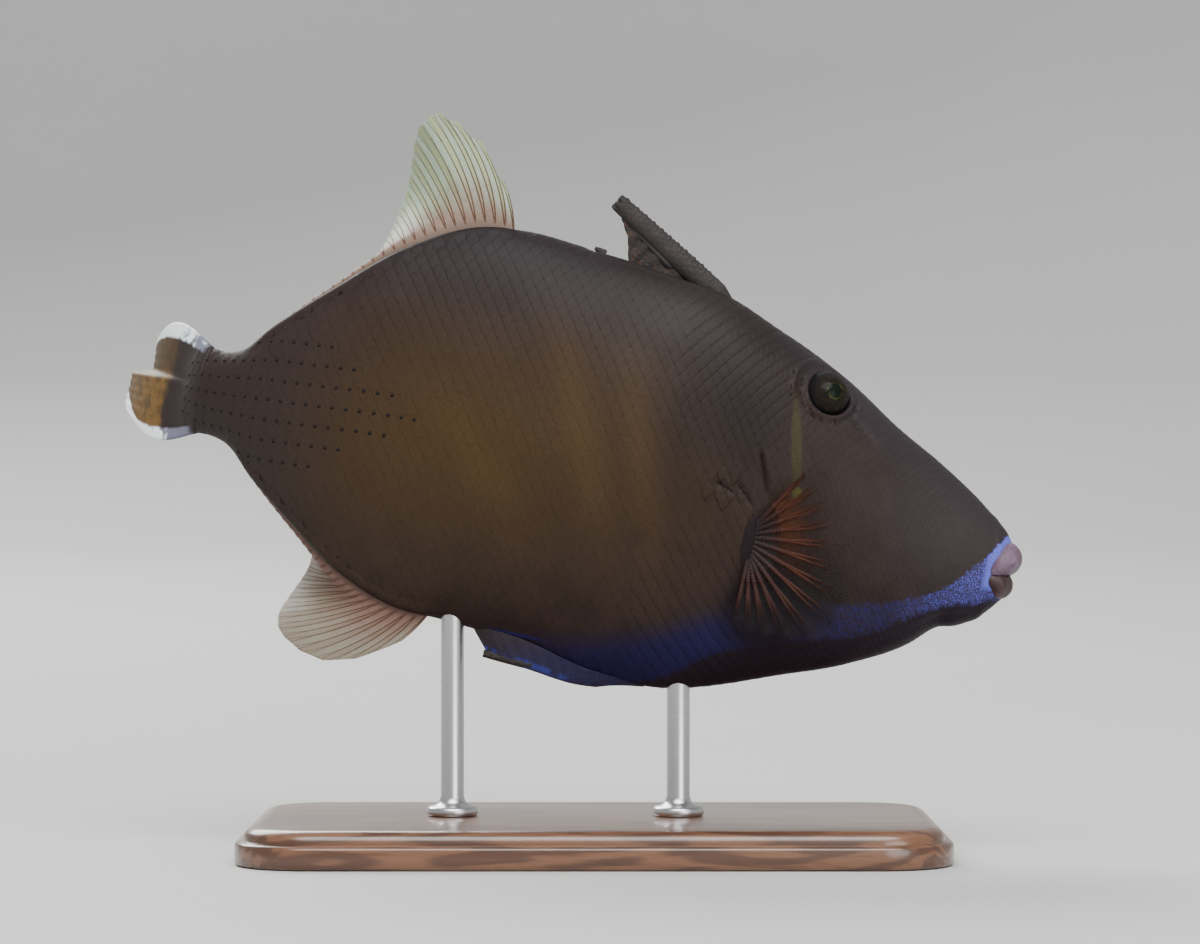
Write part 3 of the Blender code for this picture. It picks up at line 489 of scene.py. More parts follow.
def toned(color, share):
    return tuple(part * share for part in color)


def scaled_place(nodes, scale):
    """The room's coordinates, drawn out along each axis, for a grain."""
    mapping = nodes.add("ShaderNodeMapping")
    nodes.plug(mapping.inputs["Vector"], nodes.add("ShaderNodeTexCoord").outputs["Object"])
    nodes.plug(mapping.inputs["Scale"], scale)
    return mapping.outputs[0]


def add_bump(nodes, shader, height, strength, distance):
    node = nodes.add("ShaderNodeBump")
    nodes.plug(node.inputs["Height"], height)
    nodes.plug(node.inputs["Strength"], strength)
    nodes.plug(node.inputs["Distance"], distance)
    nodes.plug(shader.inputs["Normal"], node.outputs["Normal"])


# %% [markdown]
# Skin and scales share one pattern, so it lives in a node group that both materials use. The group first
# turns the room's coordinates back into the fish's own, in millimetres. Then it lays the colours over one
# another as a painter would: the dark ground, the olive and gold of the flank with its faint slanting bars,
# the violet of the back, partly a painted sheen, a painted highlight along the top of the head, and last
# the bright blue round the mouth that fades along the belly. Painted shade darkens the gill slit and the
# mouth, and a painted shadow of the pectoral fin lies over the throat.

# %% The pattern of the skin
GROUND = (0.0190, 0.0118, 0.0110)
OLIVE_GOLD = (0.0450, 0.0250, 0.0088)
PALE_GOLD = (0.0660, 0.0375, 0.0125)
VIOLET_BACK_AND_SHEEN = (0.0160, 0.0122, 0.0138)
TAIL_GREY = (0.0260, 0.0185, 0.0175)
HEAD_TOP_HIGHLIGHT = (0.0260, 0.0215, 0.0270)
SNOUT_GREY = (0.0380, 0.0310, 0.0320)
CHEEK_SHADE = (0.0092, 0.0054, 0.0052)
PALE_GREY = (0.0350, 0.0265, 0.0250)
THROAT_DARK_AND_FIN_SHADOW = (0.0110, 0.0060, 0.0115)
LAVENDER = (0.1080, 0.1200, 0.5200)
GRAIN_BLUE = (0.0880, 0.1020, 0.4900)
DEEP_BLUE = (0.0150, 0.0170, 0.1250)
NIGHT_BLUE = (0.0080, 0.0074, 0.0520)
LINE_BLUE = (0.0140, 0.0170, 0.1100)
MOUTH_AND_SLIT_SHADE = (0.0040, 0.0020, 0.0030)
EYE_STRIPE = (0.0360, 0.0310, 0.0100)
STRIPE_SPOT = (0.0750, 0.0900, 0.0160)
BARS = (((98.6, 8.8), 24.0, 4.2, 67.0), ((118.0, -3.0), 18.0, 4.0, 45.0), ((84.0, 4.0), 20.0, 3.6, 72.0))
BLUE_TOP = (
    (0.0, 4.5), (3.6, 3.6), (8.0, -2.0), (11.3, -5.8), (15.9, -10.2), (25.9, -14.9),
    (34.3, -17.2), (50.0, -20.5), (65.0, -26.3), (75.0, -31.8), (95.0, -37.5), (120.0, -38.5),
)
BLUE_LOW = (
    (0.0, -9.5), (4.0, -10.2), (7.0, -11.5), (13.0, -13.2), (17.0, -14.9), (23.0, -18.6),
    (29.0, -22.5), (45.0, -27.5), (60.0, -33.0), (73.0, -42.0), (95.0, -47.0), (120.0, -48.0),
)
CURVE_SPAN = 120.0
CURVE_LOW, CURVE_HIGH = -50.0, 50.0


def curve_of(nodes, behind, points):
    """A value in mm that follows given points along the body, by a Float Curve node."""
    node = nodes.add("ShaderNodeFloatCurve")
    curve = node.mapping.curves[0]
    scaled = [(b / CURVE_SPAN, (v - CURVE_LOW) / (CURVE_HIGH - CURVE_LOW)) for b, v in points]
    curve.points[0].location, curve.points[1].location = scaled[0], scaled[-1]
    for place in scaled[1:-1]:
        curve.points.new(*place)
    node.mapping.update()
    nodes.plug(node.inputs["Value"], nodes.times(behind, 1 / CURVE_SPAN))
    return nodes.plus(nodes.times(node.outputs["Value"], CURVE_HIGH - CURVE_LOW), CURVE_LOW)


def fish_measures(nodes):
    """Object coordinates turned into behind, side and height in mm, and the vector of all three."""
    place = nodes.add("ShaderNodeTexCoord").outputs["Object"]
    off = nodes.add("ShaderNodeVectorMath", operation="SUBTRACT")
    nodes.plug(off.inputs[0], place)
    nodes.plug(off.inputs[1], tuple(SNOUT_TIP))
    mapping = nodes.add("ShaderNodeMapping")
    nodes.plug(mapping.inputs["Vector"], off.outputs[0])
    nodes.plug(mapping.inputs["Rotation"], (0.0, -NOSE_DOWN, 0.0))
    nodes.plug(mapping.inputs["Scale"], (1000.0, 1000.0, 1000.0))
    split = nodes.add("ShaderNodeSeparateXYZ")
    nodes.plug(split.inputs[0], mapping.outputs[0])
    return nodes.times(split.outputs[0], -1.0), split.outputs[1], split.outputs[2], mapping.outputs[0]


def fish_vector(nodes):
    return fish_measures(nodes)[3]


def build_pattern_group():
    tree = bpy.data.node_groups.new("fish_pattern", "ShaderNodeTree")
    tree.interface.new_socket("Color", in_out="OUTPUT", socket_type="NodeSocketColor")
    tree.interface.new_socket("Grain", in_out="OUTPUT", socket_type="NodeSocketFloat")
    nodes = Nodes(tree)
    behind, _, height, vector = fish_measures(nodes)
    soft = nodes.noise(vector, 0.12, 3.0)
    wander = nodes.times(nodes.minus(soft, 0.5), 6.0)
    height_w = nodes.plus(height, wander)

    color = nodes.mix(nodes.step(soft, 0.35, 0.7), GROUND, toned(GROUND, 1.35))
    middle = nodes.spot(behind, height_w, (121.0, 0.0), (53.0, 27.5), -6.0)
    color = nodes.layer(color, OLIVE_GOLD, middle, 0.95)
    for place, half_length, half_width, angle in BARS:
        bar = nodes.spot(behind, height_w, place, (half_length, half_width), angle)
        color = nodes.layer(color, PALE_GOLD, bar, 0.42)
    # The violet-grey over the upper back is partly the fish's own tone and partly a painted sheen of light
    # from above.
    back = nodes.times(nodes.step(height_w, 20.0, 44.0), nodes.step(behind, 55.0, 80.0))
    color = nodes.layer(color, VIOLET_BACK_AND_SHEEN, back, 0.8)
    color = nodes.layer(color, TAIL_GREY, nodes.step(behind, 140.0, 168.0), 0.75)
    # Painted highlight: a lighter bluish-grey band along the top profile of the head.
    profile = nodes.minus(height, nodes.plus(nodes.times(behind, 0.57), 2.8))
    painted_brow_highlight = nodes.times(nodes.step(profile, -11.0, 0.0), nodes.step(behind, 76.0, 52.0))
    color = nodes.layer(color, HEAD_TOP_HIGHLIGHT, painted_brow_highlight, 0.7)
    for place, radii, angle, share, tone in (
        ((80.0, 37.5), (11.0, 5.5), 8.0, 0.5, PALE_GREY),
        ((16.0, 0.0), (15.0, 11.0), 30.0, 0.6, SNOUT_GREY),
        ((65.0, 22.0), (12.0, 15.0), 0.0, 0.85, CHEEK_SHADE),
        ((59.0, 10.0), (10.0, 12.0), 0.0, 0.35, CHEEK_SHADE),
        ((77.0, 14.0), (6.0, 15.0), 0.0, 0.40, CHEEK_SHADE),
    ):
        patch = nodes.spot(behind, height_w, place, radii, angle)
        color = nodes.layer(color, tone, patch, share)

    stripe = nodes.spot(behind, height, (52.7, 13.4), (9.3, 1.1), 78.5)
    stripe = nodes.step(stripe, 0.12, 0.6)
    color = nodes.layer(color, EYE_STRIPE, stripe, 0.75)
    end_spot = nodes.step(nodes.spot(behind, height, (50.7, 3.6), (1.3, 1.3)), 0.2, 0.7)
    color = nodes.layer(color, STRIPE_SPOT, end_spot, 0.7)
    # Painted shade: the gill slit, its slot and the crease beside it are darkened inside their hollows.
    for line in (GILL_SLIT, GILL_SLOT, GILL_CREASE):
        radii = (line["half_length"], line["half_width"] * 0.7)
        dark = nodes.step(nodes.spot(behind, height, line["place"], radii, line["rise"]), 0.1, 0.6)
        color = nodes.layer(color, MOUTH_AND_SLIT_SHADE, dark, 0.8)

    ragged = nodes.times(nodes.minus(nodes.noise(vector, 0.9, 4.0), 0.5), 3.0)
    off_top = nodes.plus(nodes.minus(height, curve_of(nodes, behind, BLUE_TOP)), ragged)
    off_low = nodes.plus(nodes.minus(height, curve_of(nodes, behind, BLUE_LOW)), ragged)
    below = nodes.times(nodes.step(off_low, 1.5, -1.0), nodes.step(behind, 150.0, 95.0))
    color = nodes.layer(color, THROAT_DARK_AND_FIN_SHADOW, below, 0.9)
    softness = nodes.plus(nodes.times(nodes.step(behind, 42.0, 72.0), 7.0), 1.0)
    off_top = nodes.math("DIVIDE", off_top, softness)
    band = nodes.times(nodes.step(off_top, 0.5, -0.6), nodes.step(off_low, -0.9, 0.9))
    band = nodes.times(band, nodes.step(behind, 125.0, 88.0))
    ring = nodes.times(nodes.step(behind, 8.6, 7.0), nodes.step(height, -9.5, -7.5))
    grains = nodes.step(nodes.cells(vector, 3.1), 0.52, 0.24)
    patchy = nodes.step(nodes.noise(vector, 0.7, 3.0), 0.30, 0.62)
    dappled = nodes.plus(nodes.times(patchy, 0.55), 0.48)
    strength = nodes.plus(nodes.times(grains, dappled), 0.12)
    strength = nodes.larger(strength, nodes.times(ring, 0.92))
    strength = nodes.larger(strength, nodes.times(nodes.step(behind, 40.0, 60.0), 0.8))
    blue = nodes.mix(ring, GRAIN_BLUE, LAVENDER)
    blue = nodes.mix(nodes.step(behind, 11.0, 27.0), blue, DEEP_BLUE)
    blue = nodes.mix(nodes.step(behind, 36.0, 52.0), blue, NIGHT_BLUE)
    color = nodes.layer(color, blue, band, strength)
    # Painted shadow: the pectoral fin's shadow on the throat, darkened over the blue band.
    painted_fin_shadow = nodes.step(nodes.spot(behind, height_w, (52.5, -22.5), (10.5, 9.0)), 0.25, 0.75)
    color = nodes.layer(color, THROAT_DARK_AND_FIN_SHADOW, painted_fin_shadow, 0.8)
    line = nodes.spot(behind, height, (103.0, -37.9), (6.5, 0.35), 1.5)
    color = nodes.layer(color, LINE_BLUE, nodes.step(line, 0.2, 0.7), 0.8)
    # Painted shade: the skin at the mouth's corner, between the lips, is darkened.
    mouth = nodes.times(nodes.step(behind, 6.6, 5.8), nodes.step(height, -3.6, -4.6))
    mouth = nodes.times(mouth, nodes.step(height, -8.2, -7.2))
    color = nodes.mix(mouth, color, MOUTH_AND_SLIT_SHADE)

    grain = nodes.noise(vector, 2.6, 5.0, 0.65)
    color = nodes.layer(color, (0.0, 0.0, 0.0), nodes.step(grain, 0.42, 0.72), 0.35)
    out = nodes.add("NodeGroupOutput")
    nodes.plug(out.inputs["Color"], color)
    nodes.plug(out.inputs["Grain"], grain)
    return tree


pattern_group = build_pattern_group()


def pattern_nodes(nodes):
    node = nodes.add("ShaderNodeGroup")
    node.node_tree = pattern_group
    return node.outputs["Color"], node.outputs["Grain"]


skin_material, nodes, shader = new_material("fish_skin", 0.55, Specular_IOR_Level=0.12)
color, grain = pattern_nodes(nodes)
set_color(nodes, shader, color)
add_bump(nodes, shader, grain, 0.4, 0.0002)
skin.data.materials.append(skin_material)
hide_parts("head", "trunk", "tail")
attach(skin, ROOT)

# %% [markdown]
# The tail fin is half closed, so its rays fold like a fan seen from the edge, and its rear edge swings to
# the left. Its lower lobe trails further back than the upper one. The shape comes before the scales,
# because the coat runs out over the root of this fin. It is a grid of places over the fin's middle surface.

# %% Shape of the tail fin
TAIL_RAYS = 12
TAIL_PER_RAY, TAIL_ROWS = 10, 60
TAIL_RAY_LENGTH = 32.0 * MM
TAIL_TIP_TOP, TAIL_TIP_LOW = 9.2 * MM, -8.2 * MM
TAIL_BULGE_TOP, TAIL_BULGE_LOW = 4.4 * MM, 3.8 * MM
TAIL_PLEAT = 0.08 * MM
TAIL_TRAIL = 0.6 * MM
LOWER_LOBE_TRAIL, LOBE_STEP_PLACE, LOBE_STEP_WIDTH = 4.7 * MM, 0.13, 0.03


def grid_normals(middle):
    normal = np.cross(np.gradient(middle, axis=0), np.gradient(middle, axis=1))
    return normal / np.maximum(np.linalg.norm(normal, axis=2), 1e-12)[..., None]


def grid_line(middle, columns, rows):
    """Places on a grid at fractional columns and rows."""
    i = np.clip(columns.astype(int), 0, middle.shape[0] - 2)
    j = np.clip(rows.astype(int), 0, middle.shape[1] - 2)
    u, v = (columns - i)[:, None], (rows - j)[:, None]
    first = middle[i, j] * (1 - v) + middle[i, j + 1] * v
    second = middle[i + 1, j] * (1 - v) + middle[i + 1, j + 1] * v
    return first * (1 - u) + second * u


def tail_grid():
    columns = (TAIL_RAYS - 1) * TAIL_PER_RAY + 1
    run = np.linspace(0.0, 1.0, TAIL_ROWS)
    across = np.linspace(1.0, -1.0, columns)
    outer = np.abs(across)
    phase = np.arange(columns) / TAIL_PER_RAY
    length = TAIL_RAY_LENGTH * (1 - 0.2 * outer**5) + 1.4 * MM * (across < 0) * outer * (1 - outer**4)
    length -= 1.6 * MM * bump(across - LOBE_STEP_PLACE, 0.09)
    root_top, root_low = section(BACK, TAIL_END), section(BELLY, TAIL_END)
    root = (root_top + root_low) / 2 + across * (root_top - root_low) / 2 * 0.97
    tip = (TAIL_TIP_TOP + TAIL_TIP_LOW) / 2 + across * (TAIL_TIP_TOP - TAIL_TIP_LOW) / 2
    bulge = np.where(across > 0, TAIL_BULGE_TOP, -TAIL_BULGE_LOW) * outer**3
    height = root[:, None] + (tip - root)[:, None] * run + bulge[:, None] * np.sin(math.pi * run)
    lower_lobe = (1 - 0.55 * outer**8) / (1 + np.exp((across - LOBE_STEP_PLACE) / LOBE_STEP_WIDTH))
    trail = -(TAIL_TRAIL * outer**2 + LOWER_LOBE_TRAIL * lower_lobe)[:, None] * run**2
    trail = trail + TAIL_PLEAT * np.cos(2 * math.pi * phase)[:, None] * run**2
    behind = TAIL_END + length[:, None] * run
    return np.stack([behind, trail, height], -1), run, across


tail_middle, tail_run, tail_across = tail_grid()
tail_normals = grid_normals(tail_middle)
root_half_width = np.array([half_width_at_height(TAIL_END, h) for h in tail_middle[:, 0, 2]])


def tail_half_thick(run, root):
    """Half the fin's thickness. It fills out towards the root, where it takes over from the body's flesh."""
    return (0.12 + 0.16 * (1 - run)) * MM + root * 0.92 * np.exp(-((run / 0.16) ** 2))


print("tail fin spans in mm:", round(float(np.ptp(tail_middle[:, -1, 2])) / MM, 1))

# %% [markdown]
# The coat of a triggerfish is armour: small diamond plates, edge to edge in slanting rows, smallest on the
# snout. To place thousands of them evenly the skin is unrolled first, the way a tailor would draw it. One
# axis of the flat sheet is the distance behind the snout, the other the distance up or down the flank from
# its widest line. A table turns any place on the sheet back into a place on the body, and past the end of
# the body into a place on the tail fin's root.

# %% Unrolling the skin
ROLL = np.linspace(5.0, 187.0, 420) * MM
SHARES = np.linspace(0.0, 1.0, 121)
ARC_STEPS = 241
FIN_TAKES_OVER = (182.0 * MM, 184.6 * MM)
FIN_GROWTH = ((182.0, 1.0), (186.0, 1.06), (190.0, 1.16), (198.0, 1.32))


def unrolled_half(last_turn):
    """For each distance behind: the turn at even shares of the arc from the widest line, and its length."""
    steps = np.linspace(math.pi / 2, last_turn, ARC_STEPS)
    points = plain_body(ROLL[:, None], steps[None, :])
    lengths = np.cumsum(np.linalg.norm(np.diff(points, axis=1), axis=2), 1)
    arcs = np.concatenate([np.zeros((len(ROLL), 1)), lengths], 1)
    table = [np.interp(SHARES * arc[-1], arc, steps) for arc in arcs]
    return np.array(table), arcs[:, -1]


UP_TURNS, UP_REACH = unrolled_half(0.0)
DOWN_TURNS, DOWN_REACH = unrolled_half(math.pi)


def table_value(table, behind, share):
    """Reads a table between its rows and columns."""
    at_row = np.clip((behind - ROLL[0]) / (ROLL[1] - ROLL[0]), 0, len(ROLL) - 1.001)
    at_column = np.clip(share, 0, 1) * (len(SHARES) - 1.001)
    return grid_line(table[..., None], at_row, at_column)[:, 0]


def coat_reach(behind):
    """How far the sheet goes up and down from the widest line."""
    xs, growth = np.array(FIN_GROWTH).T
    grown = np.interp(behind / MM, xs, growth)
    on_body = np.minimum(behind, TAIL_END)
    return np.interp(on_body, ROLL, UP_REACH) * grown, np.interp(on_body, ROLL, DOWN_REACH) * grown


def on_tail_fin(behind, share, lift, sign):
    """Places on one face of the tail fin. share goes from -1 at its lower edge to 1 at its upper edge."""
    run = np.clip((behind - TAIL_END) / TAIL_RAY_LENGTH, 0, 1)
    columns = (1 - np.clip(share, -1, 1)) / 2 * (len(tail_across) - 1.001)
    rows = run * (TAIL_ROWS - 1.001)
    root = np.interp(columns, np.arange(len(root_half_width)), root_half_width)
    middle, normal = grid_line(tail_middle, columns, rows), grid_line(tail_normals, columns, rows)
    return middle - normal * (sign * (tail_half_thick(run, root) + lift))[:, None]


def wrap(sheet_points, sign):
    """Lays points of the flat sheet, behind, arc and lift, onto one side of the fish."""
    behind, arc, lift = np.asarray(sheet_points, float).T
    up, down = coat_reach(behind)
    upper, lower = table_value(UP_TURNS, behind, arc / up), table_value(DOWN_TURNS, behind, -arc / down)
    turn = np.where(arc >= 0, upper, lower)
    point, outward = skin_surface(behind, turn)
    placed = point + outward * lift[:, None]
    placed[:, 1] *= -sign
    taken = np.clip((behind - FIN_TAKES_OVER[0]) / (FIN_TAKES_OVER[1] - FIN_TAKES_OVER[0]), 0, 1)[:, None]
    past = taken[:, 0] > 0
    share = np.where(arc >= 0, arc / up, arc / down)
    fin = on_tail_fin(behind[past], share[past], lift[past], sign)
    placed[past] = placed[past] * (1 - taken[past]) + fin * taken[past]
    return to_room(placed)


print("arc at the deepest place in mm:", round(float((UP_REACH + DOWN_REACH).max()) / MM, 1))

# %% [markdown]
# Geometry Nodes copy one plate to every place. The tree takes points that carry their own size, turn and
# map place, sets a plate on each, makes the copies real, and writes a small map patch for every plate so
# that a later bake finds its colour at its own root.

# %% A tree that sets plates on a sheet
BAKE_PATCH = 0.003
MAP_LENGTH, MAP_ARC = 200.0 * MM, 130.0 * MM


def tree_with(name, sockets):
    """A geometry tree with named inputs, and the shared node helper."""
    tree = bpy.data.node_groups.new(name, "GeometryNodeTree")
    tree.interface.new_socket("Geometry", in_out="INPUT", socket_type="NodeSocketGeometry")
    for label, kind in sockets:
        tree.interface.new_socket(label, in_out="INPUT", socket_type="NodeSocket" + kind)
    tree.interface.new_socket("Geometry", in_out="OUTPUT", socket_type="NodeSocketGeometry")
    nodes = Nodes(tree)
    return tree, nodes, nodes.add("NodeGroupInput").outputs, nodes.add("NodeGroupOutput").inputs[0]


def named(nodes, name, kind):
    node = nodes.add("GeometryNodeInputNamedAttribute", data_type=kind)
    nodes.plug(node.inputs["Name"], name)
    return node.outputs["Attribute"]


def vector_math(nodes, operation, first, second):
    node = nodes.add("ShaderNodeVectorMath", operation=operation)
    nodes.plug(node.inputs[0], first)
    nodes.plug(node.inputs["Scale" if operation == "SCALE" else 1], second)
    return node.outputs[0]


def build_plate_tree():
    sockets = [("Plate", "Object"), ("Rise", "Float"), ("Patch", "Float"), ("Material", "Material")]
    tree, nodes, given, result = tree_with("plates_on_sheet", sockets)
    plate = nodes.add("GeometryNodeObjectInfo")
    nodes.plug(plate.inputs["Object"], given["Plate"])
    rise = nodes.add("ShaderNodeCombineXYZ")
    nodes.plug(rise.inputs[2], given["Rise"])
    size = vector_math(nodes, "ADD", named(nodes, "plate_size", "FLOAT_VECTOR"), rise.outputs[0])
    turn = nodes.add("FunctionNodeEulerToRotation")
    nodes.plug(turn.inputs[0], named(nodes, "plate_turn", "FLOAT_VECTOR"))
    copies = nodes.add("GeometryNodeInstanceOnPoints")
    nodes.plug(copies.inputs["Points"], given["Geometry"])
    nodes.plug(copies.inputs["Instance"], plate.outputs["Geometry"])
    nodes.plug(copies.inputs["Rotation"], turn.outputs[0])
    nodes.plug(copies.inputs["Scale"], size)
    real = nodes.add("GeometryNodeRealizeInstances")
    nodes.plug(real.inputs[0], copies.outputs[0])
    patch = vector_math(nodes, "SCALE", named(nodes, "plate_place", "FLOAT_VECTOR"), given["Patch"])
    place = vector_math(nodes, "ADD", named(nodes, "root_place", "FLOAT_VECTOR"), patch)
    store = nodes.add("GeometryNodeStoreNamedAttribute", data_type="FLOAT2", domain="CORNER")
    nodes.plug(store.inputs["Geometry"], real.outputs[0])
    nodes.plug(store.inputs["Name"], "OFBake")
    nodes.plug(store.inputs["Value"], place)
    paint = nodes.add("GeometryNodeSetMaterial")
    nodes.plug(paint.inputs["Geometry"], store.outputs[0])
    nodes.plug(paint.inputs["Material"], given["Material"])
    nodes.plug(result, paint.outputs[0])
    return tree


plate_tree = build_plate_tree()


def made_by_tree(obj, tree, **values):
    """Runs a geometry tree on an object with named input values and keeps the result as a plain mesh."""
    modifier = obj.modifiers.new("made", "NODES")
    modifier.node_group = tree
    for item in tree.interface.items_tree:
        if item.in_out == "INPUT" and item.name in values:
            modifier[item.identifier] = values[item.name]
    graph = bpy.context.evaluated_depsgraph_get()
    graph.update()
    mesh = bpy.data.meshes.new_from_object(obj.evaluated_get(graph))
    obj.modifiers.clear()
    obj.data = mesh
    return obj


def set_vectors(mesh, name, values):
    attribute = mesh.attributes.new(name, "FLOAT_VECTOR", "POINT")
    attribute.data.foreach_set("vector", np.asarray(values, np.float32).ravel())


# %% [markdown]
# A plate is a rhomb with rounded corners, a little crowned, with a rim that drops into the skin. A thorn is
# a low leaning cone. Both are drawn once at unit size, so that each copy can take the size its place asks
# for.

# %% One plate and one thorn
RIM_POINTS = 12


def turned_form(name, rings, corner_power, lean):
    """A closed form of unit length. Its rings are shares of the outline and heights, from the middle out."""
    spin = even_turns(RIM_POINTS)
    corners = np.abs(np.cos(spin)) ** corner_power + np.abs(np.sin(spin)) ** corner_power
    reach = corners ** (-1 / corner_power) / 2
    points = [np.array([[lean * rings[0][1], 0.0, rings[0][1]]])]
    for share, height in rings[1:]:
        x = reach * np.cos(spin) * share + lean * max(height, 0.0)
        points.append(np.stack([x, reach * np.sin(spin) * share, np.full(RIM_POINTS, height)], -1))
    faces = [[0, 1 + j, 1 + (j + 1) % RIM_POINTS] for j in range(RIM_POINTS)]
    for ring in range(len(rings) - 2):
        a = 1 + ring * RIM_POINTS
        for j in range(RIM_POINTS):
            k = (j + 1) % RIM_POINTS
            faces.append([a + j, a + RIM_POINTS + j, a + RIM_POINTS + k, a + k])
    faces.append([1 + (len(rings) - 2) * RIM_POINTS + j for j in range(RIM_POINTS)])
    form = face_out(new_piece(name, np.concatenate(points), faces))
    places = np.concatenate(points)
    places[:, 2] = 0.0
    set_vectors(form.data, "plate_place", places)
    store_numbers(form, "middle", [1.0] + [0.0] * (len(places) - 1))
    return form


PLATE_RINGS = ((0, 1.0), (0.6, 0.97), (0.97, 0.87), (1.0, 0.70), (0.995, -1.1))
plate_form = turned_form("plate_form", PLATE_RINGS, 1.14, 0.03)
thorn_form = turned_form("thorn_form", ((0, 1.0), (0.3, 0.62), (0.8, 0.15), (1.0, -0.5)), 2.0, 0.35)
print("faces of one plate:", len(plate_form.data.polygons))

# %% [markdown]
# The plates stand in a lattice of staggered columns. Their size changes smoothly from the snout to the
# flank, and the lattice with it, so rows close up towards the mouth as on the real fish. Plates that would
# lie on the eye, the lips, the gill slit or a fin's root are left out.

# %% The lattice
PLATE_LENGTHS = (
    (5.0, 1.0), (14.0, 1.15), (30.0, 1.55), (45.0, 1.85),
    (62.0, 2.4), (80.0, 2.8), (165.0, 2.8), (186.0, 2.0),
)
ROW_RATIO = 4.5 / 2.9
COAT_START, COAT_END = 6.4 * MM, 186.6 * MM
HEAD_COAT_END = 56.0 * MM
EYE_CLEARANCE, NOSTRIL_CLEARANCE = 6.75, 1.3
GILL_CLEARANCES = ((GILL_SLIT, 0.45), (GILL_SLOT, 0.6), (GILL_CREASE, 0.35))
# Bare strips along the fins' roots: from, to, and how wide, at the back and at the belly.
BARE_AT_BACK = ((117, 176, 3.0), (70, 106, 4.2))
BARE_AT_BELLY = ((118, 173, 3.0), (73, 108, 2.2))
UNEVEN, TIPPED = 0.03, 0.035
PLATE_RISE, HEAD_PLATE_RISE, GILL_PLATE_RISE = 0.055 * MM, 0.03 * MM, 0.18 * MM
FIN_MARGIN = 0.26
GILL_GUARD = {"behind": 65.6, "arc": -2.2, "radii": (4.6, 3.6)}
rng = np.random.default_rng(7)


def plate_length(behind):
    xs, ys = np.array(PLATE_LENGTHS).T
    return np.interp(behind / MM, xs, ys) * MM


def lattice():
    """Behind, arc, size, turn, row number and room to the back and belly, for every plate of one side."""
    rows = []
    behind, column = COAT_START, 0
    while behind < COAT_END:
        length = plate_length(behind)
        pitch = length * ROW_RATIO
        growth = (plate_length(behind + MM) - plate_length(behind - MM)) / (2 * MM) / length
        half = 0.5 * (column % 2)
        top, low = coat_reach(behind)
        for row in range(int(-low / pitch) - 1, int(top / pitch) + 2):
            arc = (row + half) * pitch
            if -low < arc < top:
                turn, number = math.atan(arc * growth), 2 * row + column % 2
                rows.append((behind, arc, length, turn, number, top - arc, low + arc))
        behind += length / 2
        column += 1
    return np.array(rows)


def clear_of_features(rows):
    """Keeps the plates that lie on bare skin."""
    behind, to_back, to_belly = rows[:, 0] / MM, rows[:, 5] / MM, rows[:, 6] / MM
    place = wrap(np.stack([rows[:, 0], rows[:, 1], np.zeros(len(rows))], -1), -1.0)
    eye = to_room(eye_place(-1.0)[0])
    keep = np.linalg.norm(place - eye, axis=1) / MM > EYE_CLEARANCE
    height = (place - SNOUT_TIP) @ np.array([math.sin(NOSE_DOWN), 0, math.cos(NOSE_DOWN)]) / MM
    for line, room in GILL_CLEARANCES:
        along, across = along_and_across(behind, height, line["place"], line["rise"])
        keep &= (np.abs(along) > line["half_length"] + 0.3) | (np.abs(across) > room)
    root = np.hypot((behind - PECTORAL_PLACE[0]) / 2.4, (height - PECTORAL_PLACE[1]) / 6.4)
    keep &= root > 1.0
    for b, h in NOSTRILS:
        keep &= np.hypot(behind - b, height - h) > NOSTRIL_CLEARANCE
    for strips, room in ((BARE_AT_BACK, to_back), (BARE_AT_BELLY, to_belly)):
        for start, end, width in strips:
            keep &= ~((behind > start) & (behind < end) & (room < width))
    keep &= (to_back > 0.5) & (to_belly > 0.5)
    margin = FIN_MARGIN * np.clip((behind - 181) / 3, 0, 1) * (to_back + to_belly) / 2
    keep &= (to_back > margin) & (to_belly > margin)
    return keep


def plate_points(name, rows, stretch=(1.0, 1.0), lift=0.0):
    """A mesh of loose points on the flat sheet, with the sizes, turns and map places of their plates."""
    length = rows[:, 2]
    obj = new_piece(name, np.stack([rows[:, 0], rows[:, 1], np.full(len(rows), lift)], -1), [])
    vary = 1 + rng.uniform(-UNEVEN, UNEVEN, (len(rows), 2))
    sizes = np.stack([length * vary[:, 0], length * ROW_RATIO * vary[:, 1], np.zeros(len(rows))], -1)
    set_vectors(obj.data, "plate_size", sizes * (*stretch, 0.0))
    turns = np.zeros((len(rows), 3))
    turns[:, 1] = rng.uniform(0.0, TIPPED, len(rows)) * -1
    turns[:, 2] = rows[:, 3] + rng.uniform(-UNEVEN, UNEVEN, len(rows))
    set_vectors(obj.data, "plate_turn", turns)
    places = np.stack([rows[:, 0] / MAP_LENGTH, 0.5 + rows[:, 1] / MAP_ARC, np.zeros(len(rows))], -1)
    set_vectors(obj.data, "root_place", places)
    return obj


def wrapped(obj, sign):
    """Takes a finished flat sheet of plates to the fish's side."""
    mesh = obj.data
    flat = np.empty(len(mesh.vertices) * 3, np.float32)
    mesh.vertices.foreach_get("co", flat)
    placed = wrap(flat.reshape(-1, 3).astype(float), sign)
    mesh.vertices.foreach_set("co", placed.astype(np.float32).ravel())
    if sign < 0:
        mesh.flip_normals()
    mesh.shade_smooth()
    mesh.update()
    return obj


plates = lattice()
plates = plates[clear_of_features(plates)]
print("plates on each side:", len(plates))

# %% [markdown]
# Scales show the same pattern as the skin under them. Their material adds what belongs to one plate: a fine
# grain of tubercles, and on the rear body and the tail's root a dark dot in the middle of every second row,
# where a small thorn stands. The plates that guard the gill slit stand higher than the rest.

# %% The coat of scales
THORN_START, THORN_END, THORN_SPREAD, THORN_REACH = 131.0, 188.0, 0.6, 14.5

